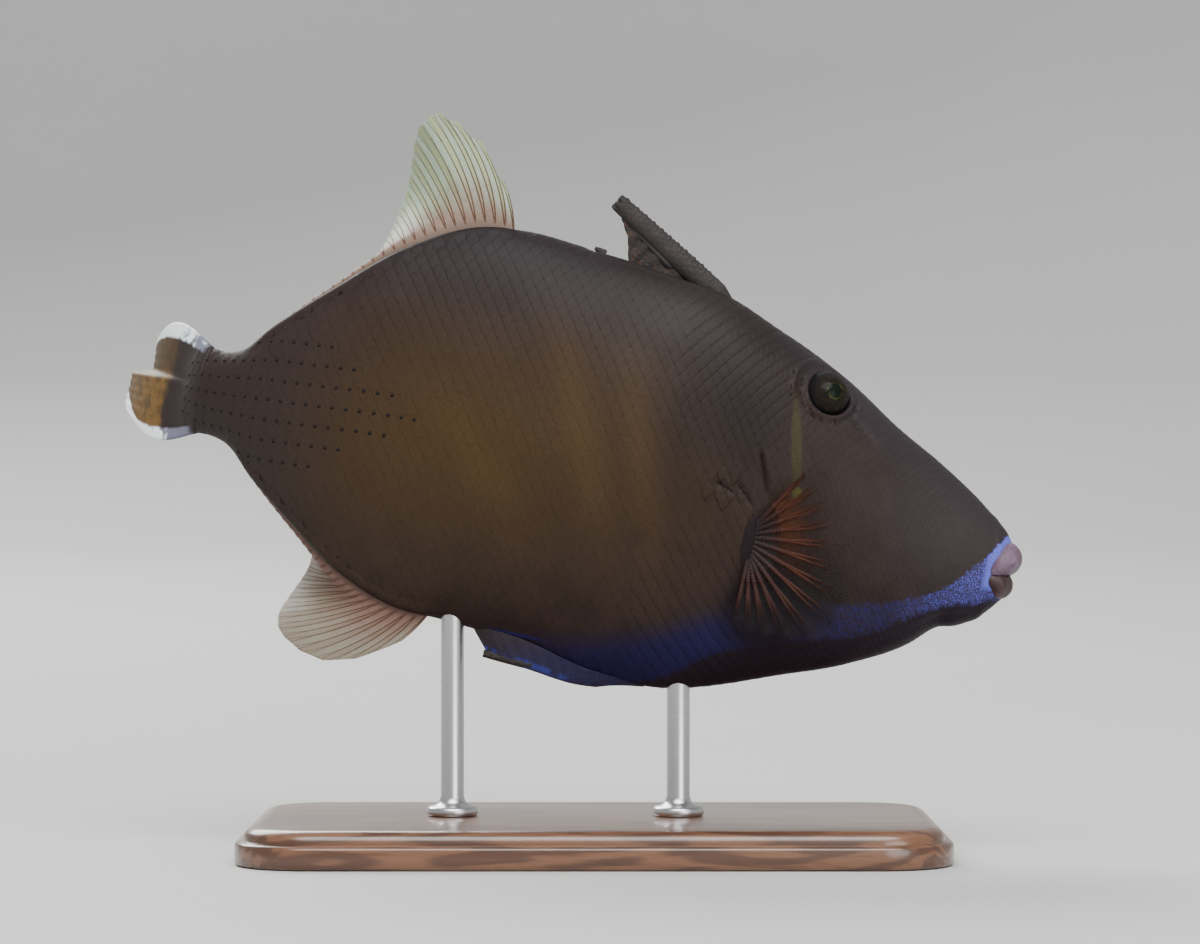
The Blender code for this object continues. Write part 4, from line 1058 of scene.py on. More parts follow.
scale_material, nodes, shader = new_material("fish_scale", 0.5, Specular_IOR_Level=0.14)
color, grain = pattern_nodes(nodes)
dot = nodes.attribute("dark_dot")
color = nodes.layer(color, (0.0032, 0.0022, 0.0026), nodes.step(dot, 0.30, 0.80), 0.6)
set_color(nodes, shader, color)
add_bump(nodes, shader, grain, 0.35, 0.00012)


def coat(name, rows, sign, rise):
    """One piece of the coat, with a dark dot in the middle of the plates that carry a thorn."""
    obj = plate_points(name, rows)
    store_numbers(obj, "dotted", thorny(rows))
    made_by_tree(obj, plate_tree, Plate=plate_form, Rise=rise, Patch=BAKE_PATCH, Material=scale_material)
    mesh = obj.data
    middle, dots = np.empty(len(mesh.vertices), np.float32), np.empty(len(mesh.vertices), np.float32)
    mesh.attributes["middle"].data.foreach_get("value", middle)
    mesh.attributes["dotted"].data.foreach_get("value", dots)
    store_numbers(obj, "dark_dot", middle * dots)
    wrapped(obj, sign)
    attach(obj, ROOT)
    print(name, len(mesh.polygons), "faces", [layer.name for layer in mesh.uv_layers])
    return obj


def thorny(rows):
    """Whether a plate carries a thorn: every second row of the rear body, spreading out backwards."""
    behind, arc = rows[:, 0] / MM, rows[:, 1] / MM
    reach = np.clip((behind - THORN_START) * THORN_SPREAD, 0, THORN_REACH)
    return (rows[:, 4] % 2 == 0) & (np.abs(arc) < reach) & (behind < THORN_END)


def guards_gill(rows):
    behind, arc = rows[:, 0] / MM - GILL_GUARD["behind"], rows[:, 1] / MM - GILL_GUARD["arc"]
    return np.hypot(behind / GILL_GUARD["radii"][0], arc / GILL_GUARD["radii"][1]) < 1


on_head, at_gill = plates[:, 0] < HEAD_COAT_END, guards_gill(plates)
for side_name, sign in SIDES.items():
    coat("scales_" + side_name, plates[~on_head & ~at_gill], sign, PLATE_RISE)
    coat("cheek_scales_" + side_name, plates[on_head], sign, HEAD_PLATE_RISE)
    coat("gill_plates_" + side_name, plates[at_gill], sign, GILL_PLATE_RISE)

# %% [markdown]
# The thorns are real little hooks that a hand would feel when it strokes the tail forwards. They use the
# same tree with the cone in place of the plate.

# %% Thorns of the tail
THORN_RISE = 0.4 * MM
THORN_SIZE = (0.34, 0.20)

thorn_material, nodes, shader = new_material("thorn_dark", 0.6, Specular_IOR_Level=0.1)
vector = fish_vector(nodes)
shade = nodes.noise(vector, 3.0, 2.0)
set_color(nodes, shader, nodes.mix(shade, (0.0065, 0.0046, 0.0048), (0.0150, 0.0108, 0.0108)))


def thorns(name, sign):
    rows = plates[thorny(plates)]
    obj = plate_points(name, rows, THORN_SIZE, PLATE_RISE * 0.7)
    made_by_tree(
        obj, plate_tree, Plate=thorn_form, Rise=THORN_RISE, Patch=BAKE_PATCH, Material=thorn_material
    )
    wrapped(obj, sign)
    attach(obj, ROOT)
    return obj


for side_name, sign in SIDES.items():
    thorns("thorns_" + side_name, sign)
print("thorns on each side:", int(thorny(plates).sum()))
for form in (plate_form, thorn_form):
    bpy.data.objects.remove(form)

# %% [markdown]
# Each eye sits deep in its fold of skin and turns a little upwards. It is one glossy ball. Two numbers kept
# on its points, the angle from the line of sight and the angle around it, let the material draw the pupil,
# the broken green rings of the iris and the dark rim, as if turned on a lathe.

# %% Eyes
EYE_RINGS, EYE_SPOKES = 56, 96
PUPIL_EDGE, IRIS_EDGE, DARK_EDGE = 15.0, 43.0, 50.0
CORNEA_SWELL, CORNEA_EDGE = 0.05, 34.0


def across_axes(direction):
    first = np.cross(direction, (0.0, 0.0, 1.0))
    first /= np.linalg.norm(first)
    return first, np.cross(direction, first)


def eye_material():
    material, nodes, shader = new_material(
        "eye_wet", 0.5, Specular_IOR_Level=0.05, Coat_Weight=0.08, Coat_Roughness=0.12
    )
    polar, around = nodes.attribute("polar"), nodes.attribute("around")
    vector = fish_vector(nodes)
    ragged = nodes.times(nodes.minus(nodes.noise(vector, 1.1, 4.0, 0.6), 0.5), 16.0)
    angle = nodes.plus(polar, ragged)
    wave = nodes.sine(nodes.times(angle, 0.92))
    rings = nodes.step(wave, 0.15, 0.95)
    broken = nodes.step(nodes.noise(vector, 0.9, 2.0), 0.38, 0.60)
    iris = nodes.mix(nodes.step(polar, 16.0, 42.0), (0.007, 0.007, 0.004), (0.009, 0.006, 0.005))
    color = nodes.mix(nodes.times(rings, broken, 0.65), iris, (0.034, 0.024, 0.008))
    inner_ring = nodes.times(nodes.step(polar, PUPIL_EDGE, PUPIL_EDGE + 1.5), nodes.step(polar, 21.0, 18.0))
    inner_ring = nodes.times(inner_ring, nodes.step(broken, 0.0, 0.8), 0.8)
    color = nodes.mix(inner_ring, color, (0.042, 0.038, 0.012))
    spokes = nodes.sine(nodes.times(around, 60.0))
    color = nodes.layer(color, (0.004, 0.005, 0.003), nodes.step(spokes, 0.0, 1.0), 0.22)
    color = nodes.mix(nodes.step(polar, PUPIL_EDGE + 0.8, PUPIL_EDGE - 0.6), color, (0.0020, 0.0060, 0.0030))
    color = nodes.mix(nodes.step(polar, IRIS_EDGE - 3.0, DARK_EDGE), color, (0.006, 0.005, 0.006))
    set_color(nodes, shader, color)
    return material


def eyeball(name, sign, material):
    centre, look = eye_place(sign)
    first, second = across_axes(look)
    polar = np.linspace(0.0, math.pi, EYE_RINGS)[1:-1, None]
    around = even_turns(EYE_SPOKES)[None, :]
    swell = 1 + CORNEA_SWELL * np.exp(-((np.degrees(polar) / CORNEA_EDGE) ** 4)) * np.ones_like(around)
    radius = EYE_RADIUS * swell
    ring = (
        look * (radius * np.cos(polar))[..., None]
        + first * (radius * np.sin(polar) * np.cos(around))[..., None]
        + second * (radius * np.sin(polar) * np.sin(around))[..., None]
    ).reshape(-1, 3)
    points = np.concatenate([ring, [look * EYE_RADIUS * (1 + CORNEA_SWELL)], [-look * EYE_RADIUS]]) + centre
    faces = tube_faces(EYE_RINGS - 2, EYE_SPOKES)[:-2]
    front, rear, last = len(ring), len(ring) + 1, (EYE_RINGS - 3) * EYE_SPOKES
    for j in range(EYE_SPOKES):
        k = (j + 1) % EYE_SPOKES
        faces += [[front, j, k], [rear, last + k, last + j]]
    ball = face_out(new_piece(name, to_room(points), faces, material))
    polar_grid = np.degrees(polar * np.ones_like(around)).ravel()
    store_numbers(ball, "polar", np.append(polar_grid, [0.0, 180.0]))
    turn_grid = np.abs((around - math.pi) * np.ones_like(polar)).ravel()
    store_numbers(ball, "around", np.append(turn_grid, [0.0, 0.0]))
    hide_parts(name)
    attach(ball, ROOT)
    return ball


eye_wet = eye_material()
for side_name, sign in SIDES.items():
    eyeball("eye_" + side_name, sign, eye_wet).name = "eyeball_" + side_name
print("eyes at height in mm:", round(float(to_room(eye_place(-1.0)[0])[2]) / MM, 1))

# %% [markdown]
# The lips are two thick soft rolls round a small mouth. Each is a tube swept from corner to corner, fullest
# in the middle, with shallow upright creases. A fine pebble grain in the bump keeps them from looking like
# wax.

# %% Lips
UPPER_LIP = {"front": 3.3, "corner": 6.4, "half_gape": 4.6, "height": -1.35, "corner_height": -4.3,
             "half_depth": 3.6, "half_height": 3.75, "corner_share": 0.42, "creases": 13}
LOWER_LIP = {"front": 3.4, "corner": 6.4, "half_gape": 4.3, "height": -7.1, "corner_height": -6.3,
             "half_depth": 2.9, "half_height": 3.0, "corner_share": 0.50, "creases": 11}
LIP_INNER_SHARE = 0.42
LIP_STEPS, LIP_RING = 90, 56


def lip_material(name, color, deep, spots):
    material, nodes, shader = new_material(
        name, 0.45, Specular_IOR_Level=0.3, Subsurface_Weight=0.2, Subsurface_Scale=0.0015
    )
    vector = fish_vector(nodes)
    soft = nodes.noise(vector, 0.5, 4.0, 0.6)
    pebbles = nodes.cells(vector, 2.6)
    tone = nodes.mix(nodes.step(soft, 0.35, 0.68), deep, color)
    # Painted shade: the hollows of the upright creases are darkened.
    crease = nodes.attribute("crease")
    tone = nodes.layer(tone, deep, nodes.step(crease, 0.35, -0.9), 0.35)
    tone = nodes.layer(tone, spots, nodes.step(pebbles, 0.30, 0.05), 0.35)
    # Painted shade: where the two lips meet, the faces turned towards the other lip are darkened.
    edge = nodes.attribute("inward")
    tone = nodes.layer(tone, toned(deep, 0.3), nodes.step(edge, 0.92, 1.0), 0.5)
    set_color(nodes, shader, tone)
    add_bump(nodes, shader, pebbles, 0.4, 0.00015)
    return material


def lip(name, sizes, material, slot, inner_sign):
    sweep = np.linspace(-math.pi / 2, math.pi / 2, LIP_STEPS)
    back_share = 1 - np.cos(sweep)
    fall = back_share**2
    path = np.stack([
        sizes["front"] + (sizes["corner"] - sizes["front"]) * back_share,
        sizes["half_gape"] * np.sin(sweep),
        sizes["height"] + (sizes["corner_height"] - sizes["height"]) * fall,
    ], -1) * MM
    fullness = 1 - (1 - sizes["corner_share"]) * fall
    ahead = np.gradient(path, axis=0)
    across = np.stack([-ahead[:, 1], ahead[:, 0], np.zeros(len(path))], -1)
    across /= np.linalg.norm(across, axis=1)[:, None]
    spin = even_turns(LIP_RING)
    outer = np.where(np.cos(spin) > 0, 1.0, LIP_INNER_SHARE) * sizes["half_depth"] * MM * fullness[:, None]
    crease = np.sin(sweep * sizes["creases"])[:, None] * np.ones_like(spin)
    crease *= np.maximum(np.cos(spin), 0)
    rings = (
        path[:, None]
        + across[:, None] * (np.cos(spin) * (outer + crease * 0.10 * MM))[..., None]
        + np.array([0, 0, 1.0]) * (np.sin(spin) * sizes["half_height"] * MM * fullness[:, None])[..., None]
    )
    made = face_out(new_piece(name, to_room(rings), tube_faces(LIP_STEPS, LIP_RING), material))
    store_numbers(made, "crease", crease)
    store_numbers(made, "inward", np.maximum(inner_sign * np.sin(spin), 0) * np.ones_like(crease))
    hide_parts(slot[0])
    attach(made, ROOT)
    return made


mauve = lip_material("lip_mauve", (0.155, 0.110, 0.165), (0.105, 0.060, 0.090), (0.220, 0.170, 0.230))
brown = lip_material("lip_brown", (0.056, 0.028, 0.028), (0.024, 0.011, 0.012), (0.085, 0.050, 0.052))
lip("lip_upper", UPPER_LIP, mauve, ("upper_lip", "lip_pink"), -1)
lip("lip_lower", LOWER_LIP, brown, ("lower_lip", "lip_brown"), 1)
print("lips sweep from corner to corner over", 2 * UPPER_LIP["half_gape"], "mm")

# %% [markdown]
# Fins are thin skin stretched over rays. All of them are made from one idea: a grid of places over the
# fin's middle surface, with columns along the rays. The skin is a closed sheet laid on the grid. The rays
# are tubes that a geometry tree sweeps along lines read from the same grid, so they always lie in their
# fin.

# %% Sheets and rays
RAY_POINTS = 56
RAY_SIDES = 6
RAY_JOINTS = 26


def sheet_faces(columns, rows):
    """Quads for both faces of a thin sheet of two grids, with a rim round them."""
    back = columns * rows
    i, j = np.meshgrid(np.arange(columns - 1), np.arange(rows - 1), indexing="ij")
    a = (i * rows + j).ravel()
    b = a + rows
    faces = np.stack([a, b, b + 1, a + 1], -1).tolist()
    faces += np.stack([back + a + 1, back + b + 1, back + b, back + a], -1).tolist()
    loop = [i * rows for i in range(columns)]
    loop += [(columns - 1) * rows + j for j in range(1, rows)]
    loop += [i * rows + rows - 1 for i in reversed(range(columns - 1))]
    loop += list(reversed(range(1, rows - 1)))
    for n, a in enumerate(loop):
        b = loop[(n + 1) % len(loop)]
        faces.append([a, back + a, back + b, b])
    return faces


def fin_skin(name, middle, half_thick, material, numbers):
    """A closed thin sheet over a grid, with numbers for its material kept on both faces."""
    normal = grid_normals(middle)
    points = np.stack([middle + normal * half_thick[..., None], middle - normal * half_thick[..., None]])
    obj = face_out(new_piece(name, to_room(points), sheet_faces(*middle.shape[:2]), material))
    for label, values in numbers.items():
        both = np.broadcast_to(values, middle.shape[:2]).ravel()
        store_numbers(obj, label, np.concatenate([both, both]))
    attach(obj, ROOT)
    return obj


def build_ray_tree():
    sockets = [("Sides", "Int"), ("Thickness", "Float"), ("Material", "Material")]
    tree, nodes, given, result = tree_with("rays_along_lines", sockets)
    lines = nodes.add("GeometryNodeMeshToCurve")
    nodes.plug(lines.inputs["Mesh"], given["Geometry"])
    radius = nodes.times(named(nodes, "ray_radius", "FLOAT"), given["Thickness"])
    ring = nodes.add("GeometryNodeCurvePrimitiveCircle")
    nodes.plug(ring.inputs["Resolution"], given["Sides"])
    nodes.plug(ring.inputs["Radius"], 1.0)
    tube = nodes.add("GeometryNodeCurveToMesh")
    nodes.plug(tube.inputs["Curve"], lines.outputs[0])
    nodes.plug(tube.inputs["Scale"], radius)
    nodes.plug(tube.inputs["Profile Curve"], ring.outputs[0])
    nodes.plug(tube.inputs["Fill Caps"], True)
    real = nodes.add("GeometryNodeRealizeInstances")
    nodes.plug(real.inputs[0], tube.outputs[0])
    paint = nodes.add("GeometryNodeSetMaterial")
    nodes.plug(paint.inputs["Geometry"], real.outputs[0])
    nodes.plug(paint.inputs["Material"], given["Material"])
    nodes.plug(result, paint.outputs[0])
    return tree


ray_tree = build_ray_tree()


def fin_rays(name, middle, rays, per_ray, material, thickness, slot, splits=(0.04, 0.74), spread=0.24):
    """Rays along a fin's grid. Each splits in two, and again nearer the edge, and thins towards its tips."""
    places, edges, radii, runs, tones = [], [], [], [], []
    rows = middle.shape[1] - 1
    branches = ((-1, -1), (-1, 1), (1, -1), (1, 1))
    for ray in range(rays):
        for first, second in branches:
            starts = 0.0 if (first, second) == (-1, -1) else splits[0] if second < 0 else splits[1]
            run = np.linspace(max(starts - 0.02, 0.0), 0.992, max(int(RAY_POINTS * (1 - starts)), 6))
            off = first * spread * (1 - np.exp(-np.maximum(run - splits[0], 0) / 0.22))
            off += second * np.clip(run - splits[1], 0, 1) * spread * 0.45 / (1 - splits[1])
            column = np.clip((ray + off) * per_ray, 0, middle.shape[0] - 1.001)
            line = grid_line(middle, column, np.minimum(run * rows, rows - 0.001))
            radius = (1 - 0.55 * run**0.8) * np.where(run > splits[0], 0.72, 1.0)
            radius *= np.where(run > splits[1], 0.8, 1.0)
            radius *= 1 + 0.10 * np.sin(run * 2 * math.pi * RAY_JOINTS) * (run > 0.12)
            start = len(places)
            places += line.tolist()
            edges += [(start + n, start + n + 1) for n in range(len(line) - 1)]
            radii += radius.tolist()
            runs += run.tolist()
            tones += [ray / max(rays - 1, 1)] * len(run)
    obj = new_piece(name, to_room(np.array(places)), [], edges=edges)
    store_numbers(obj, "ray_radius", np.array(radii))
    store_numbers(obj, "run", np.array(runs))
    store_numbers(obj, "across", np.array(tones))
    made_by_tree(obj, ray_tree, Sides=RAY_SIDES, Thickness=thickness, Material=material)
    obj.data.shade_smooth()
    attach(obj, ROOT)
    return obj


# %% [markdown]
# The soft dorsal and the anal fin are the triggerfish's oars. In the picture both are caught in mid beat:
# their front rays stand up or sweep back, and their rear rays lean far over to the other side. Short lists
# say how the rays change along the base, in millimetres and degrees, and match the solids.

# %% Shape of the dorsal and anal fins
SECOND_DORSAL_RAYS = 27
SECOND_DORSAL = (
    (120.6, 11.6, 5, 26, 0),
    (122.9, 21.8, 4, 34, 1),
    (125.2, 26.5, 6, 34, 2),
    (127.5, 28.0, 5, 31, 4),
    (129.8, 26.6, 4, 28, 8),
    (132.1, 25.2, 3, 25, 24),
    (134.5, 24.0, 1, 22, 39),
    (137.0, 23.0, -1, 20, 51),
    (141.0, 21.2, 0, 16, 65),
    (146.0, 18.6, 3, 12, 78),
    (152.0, 15.0, 4, 10, 86),
    (160.0, 11.0, 8, 8, 87),
    (171.5, 6.5, 20, 6, 80),
)
ANAL_RAYS = 25
ANAL = (
    (122.4, 8.6, 24, 16, 0),
    (124.0, 16.2, 30, 18, 1),
    (126.0, 21.8, 34, 20, 2),
    (128.0, 24.4, 38, 20, 4),
    (131.0, 25.6, 40, 20, 10),
    (134.0, 25.0, 40, 17, 28),
    (137.0, 23.8, 35, 14, 48),
    (140.5, 21.6, 28, 10, 64),
    (145.0, 18.0, 18, 7, 78),
    (151.0, 14.0, 8, 6, 86),
    (159.0, 10.0, 8, 6, 88),
    (168.0, 6.5, 22, 6, 80),
)
FIN_PER_RAY, FIN_ROWS = 8, 52
LEAN_REACHED = 0.22
WEB_DIP = 0.12 * MM


def median_grid(stations, rays, contour, up_sign, stepped):
    """The middle surface of a fin on the back or belly. stepped is how far its edge drops between rays."""
    columns = (rays - 1) * FIN_PER_RAY + 1
    run = np.linspace(0.0, 1.0, FIN_ROWS)
    base = np.linspace(stations[0][0], stations[-1][0], columns) * MM
    ray_base = base[::FIN_PER_RAY]
    ray_length = smooth_curve(stations, 1, ray_base) * MM
    phase = np.arange(columns) / FIN_PER_RAY
    ray = np.minimum(phase.astype(int), rays - 2)
    part = phase - ray
    low, high = ray_length[ray], ray_length[ray + 1]
    dropped = np.where(high > low, part**2, 1 - (1 - part) ** 2)
    share = part + (dropped - part) * stepped
    length = low + (high - low) * share - WEB_DIP * stepped * np.sin(math.pi * part)
    sweep, curl, lean = (np.radians(smooth_curve(stations, c, base)) for c in (2, 3, 4))
    step = 1.0 * MM
    slope = (contour(base + step) - contour(base - step)) / (2 * step)
    to_tail = np.stack([np.ones(columns), np.zeros(columns), slope], -1)
    to_tail /= np.linalg.norm(to_tail, axis=1)[:, None]
    off_body = np.stack([-to_tail[:, 2], np.zeros(columns), to_tail[:, 0]], -1) * up_sign
    left = np.array([0.0, 1.0, 0.0])
    points = [np.stack([base, np.zeros(columns), contour(base) - up_sign * 0.8 * MM], -1)]
    for start, end in zip(run[:-1], run[1:]):
        at = (start + end) / 2
        ease = min(at / LEAN_REACHED, 1.0)
        tilt = (lean * ease * ease * (3 - 2 * ease))[:, None]
        swept = (sweep + curl * at)[:, None]
        way = np.sin(swept) * to_tail + np.cos(swept) * (np.cos(tilt) * off_body + np.sin(tilt) * left)
        points.append(points[-1] + way * (length * (end - start))[:, None])
    return np.stack(points, 1), run, phase


def back_of(behind):
    return section(BACK, behind)


def belly_of(behind):
    return section(BELLY, behind)


# %% [markdown]
# Fin skin is so thin that light comes through. Along each ray it is thicker, so a ray shows as a pale beige
# band between two brown lines, and the skin between the bands is nearly clear. The colour goes from a flush
# of pink at the root to a pale green-grey edge; on the dorsal that green is partly painted light from behind
# that shows through the skin.

# %% Dorsal and anal fins
# The dorsal's green-grey band and edge colours are partly painted light from behind, showing through the fin.
DORSAL_PAINT = {
    "root_color": (0.240, 0.158, 0.118), "band_color": (0.365, 0.410, 0.240),
    "edge_color": (0.420, 0.530, 0.370), "clear_alpha": 0.38, "band_alpha": 0.88, "root_reach": (0.10, 0.62),
}
ANAL_PAINT = {
    "root_color": (0.165, 0.088, 0.068), "band_color": (0.205, 0.166, 0.126),
    "edge_color": (0.220, 0.192, 0.142), "clear_alpha": 0.80, "band_alpha": 0.92, "root_reach": (0.15, 0.75),
}
RAY_ROOT = (0.100, 0.052, 0.034)
RAY_EDGE = (0.085, 0.068, 0.036)


def web_material(name, root_color, band_color, edge_color, clear_alpha, band_alpha, root_reach):
    material, nodes, shader = new_material(name, 0.5, Specular_IOR_Level=0.2)
    run, across = nodes.attribute("run"), nodes.attribute("across")
    vector = fish_vector(nodes)
    soft = nodes.noise(vector, 0.35, 3.0)
    place = nodes.plus(run, nodes.times(nodes.minus(soft, 0.5), 0.25))
    band = nodes.step(nodes.attribute("near_ray"), 0.66, 0.78)
    skin_color = nodes.mix(band, edge_color, band_color)
    color = nodes.mix(nodes.step(place, *root_reach), root_color, skin_color)
    fine = nodes.noise(vector, 2.2, 3.0)
    darker = toned(root_color, 0.6)
    color = nodes.layer(color, darker, nodes.step(fine, 0.5, 0.75), 0.2)
    at_base = nodes.times(nodes.step(run, 0.14, 0.02), 0.75)
    color = nodes.mix(at_base, color, toned(root_color, 0.35))
    set_color(nodes, shader, color)
    thick = nodes.larger(band, nodes.step(place, 0.34, 0.02))
    thick = nodes.larger(thick, nodes.times(nodes.step(across, 0.12, 0.34), 0.75))
    alpha = nodes.plus(nodes.times(thick, band_alpha - clear_alpha), clear_alpha)
    nodes.plug(shader.inputs["Alpha"], alpha)
    add_bump(nodes, shader, fine, 0.25, 0.0001)
    return material


def ray_material(name, root_color, edge_color, root_reach=(0.05, 0.85), fades=None):
    """Rays with darker joints. fades, where given, tells between which shares of the length they fade."""
    material, nodes, shader = new_material(name, 0.55, Specular_IOR_Level=0.15)
    run = nodes.attribute("run")
    vector = fish_vector(nodes)
    joints = nodes.sine(nodes.times(run, 2 * math.pi * RAY_JOINTS))
    color = nodes.mix(nodes.step(run, *root_reach), root_color, edge_color)
    dark = toned(root_color, 0.45)
    at_joints = nodes.times(nodes.step(joints, 0.3, -0.9), nodes.step(run, 0.1, 0.3), 0.45)
    color = nodes.mix(at_joints, color, dark)
    color = nodes.layer(color, dark, nodes.step(nodes.noise(vector, 0.8, 3.0), 0.45, 0.7), 0.3)
    if fades:
        duller = nodes.times(nodes.step(nodes.attribute("across"), 0.35, 0.85), 0.5)
        color = nodes.mix(duller, color, root_color)
        nodes.plug(shader.inputs["Alpha"], nodes.step(run, fades[1], fades[0]))
    set_color(nodes, shader, color)
    add_bump(nodes, shader, joints, 0.3, 0.0001)
    return material


fin_ray = ray_material("fin_ray", RAY_ROOT, RAY_EDGE)


def median_fin(name, node, grid, rays, paint):
    middle, run, phase = grid
    near_ray = np.abs(np.cos(math.pi * phase))[:, None]
    cup = np.sin(math.pi * phase)[:, None] ** 2 * np.minimum(run * 4, 1) * 0.05 * MM
    middle = middle + grid_normals(middle) * cup[..., None]
    half_thick = (0.05 + 0.5 * np.exp(-((run / 0.05) ** 2)) + 0.05 * (1 - run)) * MM * np.ones_like(near_ray)
    numbers = {"run": run[None, :], "near_ray": near_ray, "across": (phase / (rays - 1))[:, None]}
    web = fin_skin(name + "_web", middle, half_thick, web_material(name + "_skin", **paint), numbers)
    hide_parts(node)
    made = fin_rays(name + "_rays", middle, rays, FIN_PER_RAY, fin_ray, 0.29 * MM, "fin_web")
    print(name, "rays:", rays, "faces:", len(web.data.polygons) + len(made.data.polygons))


dorsal_grid = median_grid(SECOND_DORSAL, SECOND_DORSAL_RAYS, back_of, 1.0, 1.0)
median_fin("dorsal", "second_dorsal_fin", dorsal_grid, SECOND_DORSAL_RAYS, DORSAL_PAINT)
anal_grid = median_grid(ANAL, ANAL_RAYS, belly_of, -1.0, 0.2)
median_fin("anal", "anal_fin", anal_grid, ANAL_RAYS, ANAL_PAINT)

# %% [markdown]
# The tail fin's root is dark like the body, its middle yellow-brown, and a crescent of white runs along its
# top and bottom: the flag that gives the fish its name. A thin white line follows the rear edge at the step
# between the lobes.

# %% Tail fin
TAIL_YELLOW = (0.145, 0.080, 0.022)
TAIL_BROWN = (0.040, 0.024, 0.011)
TAIL_WHITE = (0.900, 0.960, 0.990)
TAIL_BLUISH = (0.160, 0.165, 0.220)


def tail_material(name):
    material, nodes, shader = new_material(name, 0.5, Specular_IOR_Level=0.2)
    run, across = nodes.attribute("run"), nodes.attribute("across")
    dark, _ = pattern_nodes(nodes)
    vector = fish_vector(nodes)
    soft = nodes.minus(nodes.noise(vector, 0.45, 3.0), 0.5)
    mottled = nodes.times(nodes.step(nodes.noise(vector, 0.4, 3.0), 0.40, 0.75), 0.75)
    patches = nodes.mix(mottled, TAIL_YELLOW, TAIL_BROWN)
    patches = nodes.layer(patches, TAIL_BROWN, nodes.step(across, 0.12, 0.40), 0.75)
    root_end = nodes.plus(nodes.times(soft, 0.10), run)
    color = nodes.mix(nodes.step(root_end, 0.33, 0.42), dark, patches)
    outer = nodes.plus(nodes.math("ABSOLUTE", across), nodes.times(soft, 0.04))
    low_side = nodes.step(across, 0.3, -0.3)
    inner_edge = nodes.plus(nodes.times(low_side, 0.035), 0.835)
    widens = nodes.times(low_side, nodes.step(run, 0.68, 1.0), 0.40)
    inner_edge = nodes.minus(inner_edge, widens)
    crescent = nodes.step(nodes.minus(outer, inner_edge), -0.025, 0.025)
    crescent = nodes.times(crescent, nodes.step(run, 0.02, 0.09))
    starts = nodes.plus(nodes.times(low_side, 0.12), 0.16)
    whitens = nodes.step(nodes.minus(nodes.plus(run, soft), starts), 0.0, 0.20)
    color = nodes.mix(crescent, color, nodes.mix(whitens, TAIL_BLUISH, TAIL_WHITE))
    at_step = nodes.times(nodes.step(across, 0.125, 0.14), nodes.step(across, 0.18, 0.165))
    at_step = nodes.times(at_step, nodes.step(run, 0.90, 0.94))
    color = nodes.mix(at_step, color, TAIL_WHITE)
    set_color(nodes, shader, color)
    add_bump(nodes, shader, nodes.noise(vector, 2.4, 3.0), 0.3, 0.0001)
    return material


half_thick = tail_half_thick(tail_run[None, :], root_half_width[:, None])
numbers = {"run": tail_run[None, :], "across": tail_across[:, None]}
tail_paint = tail_material("tail_skin")
tail_web = fin_skin("tail_web", tail_middle, half_thick, tail_paint, numbers)
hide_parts("tail_fin")
tail_rays = fin_rays("tail_rays", tail_middle, TAIL_RAYS, TAIL_PER_RAY, tail_paint, 0.34 * MM, "tail_web")
reading = tail_rays.data.attributes["across"].data
values = np.empty(len(reading), np.float32)
reading.foreach_get("value", values)
reading.foreach_set("value", 1 - 2 * values)
print("tail faces:", len(tail_web.data.polygons) + len(tail_rays.data.polygons))

# %% [markdown]
# The pectoral fins paddle to and fro. Each is a fan of red-brown rays in a nearly clear skin, on a dark
# fleshy root behind the gill slit; the root's dark tone is partly painted shade, and a dark veil over the
# lower rays is painted shadow. The rays fade out towards their tips. The fan is swept forwards and stands
# off the body.

# %% Pectoral fins
PECTORAL_BEHIND, PECTORAL_HEIGHT = PECTORAL_PLACE[0] * MM, PECTORAL_PLACE[1] * MM
PECTORAL_ROOT = (2.3 * MM, 6.4 * MM, 0.9 * MM)
PECTORAL_RAYS = 13
PECTORAL_PER_RAY, PECTORAL_ROWS = 8, 44
PECTORAL_TOP_ANGLE, PECTORAL_LOW_ANGLE = math.radians(62), math.radians(-93)
PECTORAL_FLARE = math.radians(27)
PECTORAL_LENGTHS = (
    (0.0, 19.5), (0.2, 20.0), (0.4, 21.8), (0.56, 26.0), (0.66, 24.6), (0.78, 19.0), (1.0, 14.5),
)
PECTORAL_ARC = (0.6 * MM, 4.4 * MM)


def pectoral_grid(sign):
    point, outward, to_tail, upward = flank(PECTORAL_BEHIND, PECTORAL_HEIGHT, sign)
    columns = (PECTORAL_RAYS - 1) * PECTORAL_PER_RAY + 1
    share = np.linspace(0.0, 1.0, columns)
    shares, lengths = np.array(PECTORAL_LENGTHS).T
    phase = np.arange(columns) / PECTORAL_PER_RAY
    length = np.interp(share, shares, lengths) * MM * (1 - 0.04 * np.sin(math.pi * phase) ** 2)
    angle = PECTORAL_TOP_ANGLE + (PECTORAL_LOW_ANGLE - PECTORAL_TOP_ANGLE) * share
    run = np.linspace(0.0, 1.0, PECTORAL_ROWS)
    forward_part, upward_part = np.cos(angle)[:, None], np.sin(angle)[:, None]
    root = point + outward * 0.7 * MM
    root = root - to_tail * PECTORAL_ARC[0] * forward_part + upward * PECTORAL_ARC[1] * upward_part
    ahead = upward * upward_part - to_tail * forward_part
    flare = PECTORAL_FLARE * (0.65 + 0.35 * np.sin(math.pi * share))
    droop = 0.10 * length[:, None] * run[None, :] ** 2
    pleat = 0.15 * MM * np.cos(2 * math.pi * phase)[:, None] * run[None, :]
    grid = (
        root[:, None]
        + ahead[:, None] * (np.cos(flare) * length)[:, None, None] * run[None, :, None]
        + outward * ((np.sin(flare) * length)[:, None] * run[None, :] - droop + pleat)[..., None]
    )
    return grid, run, phase


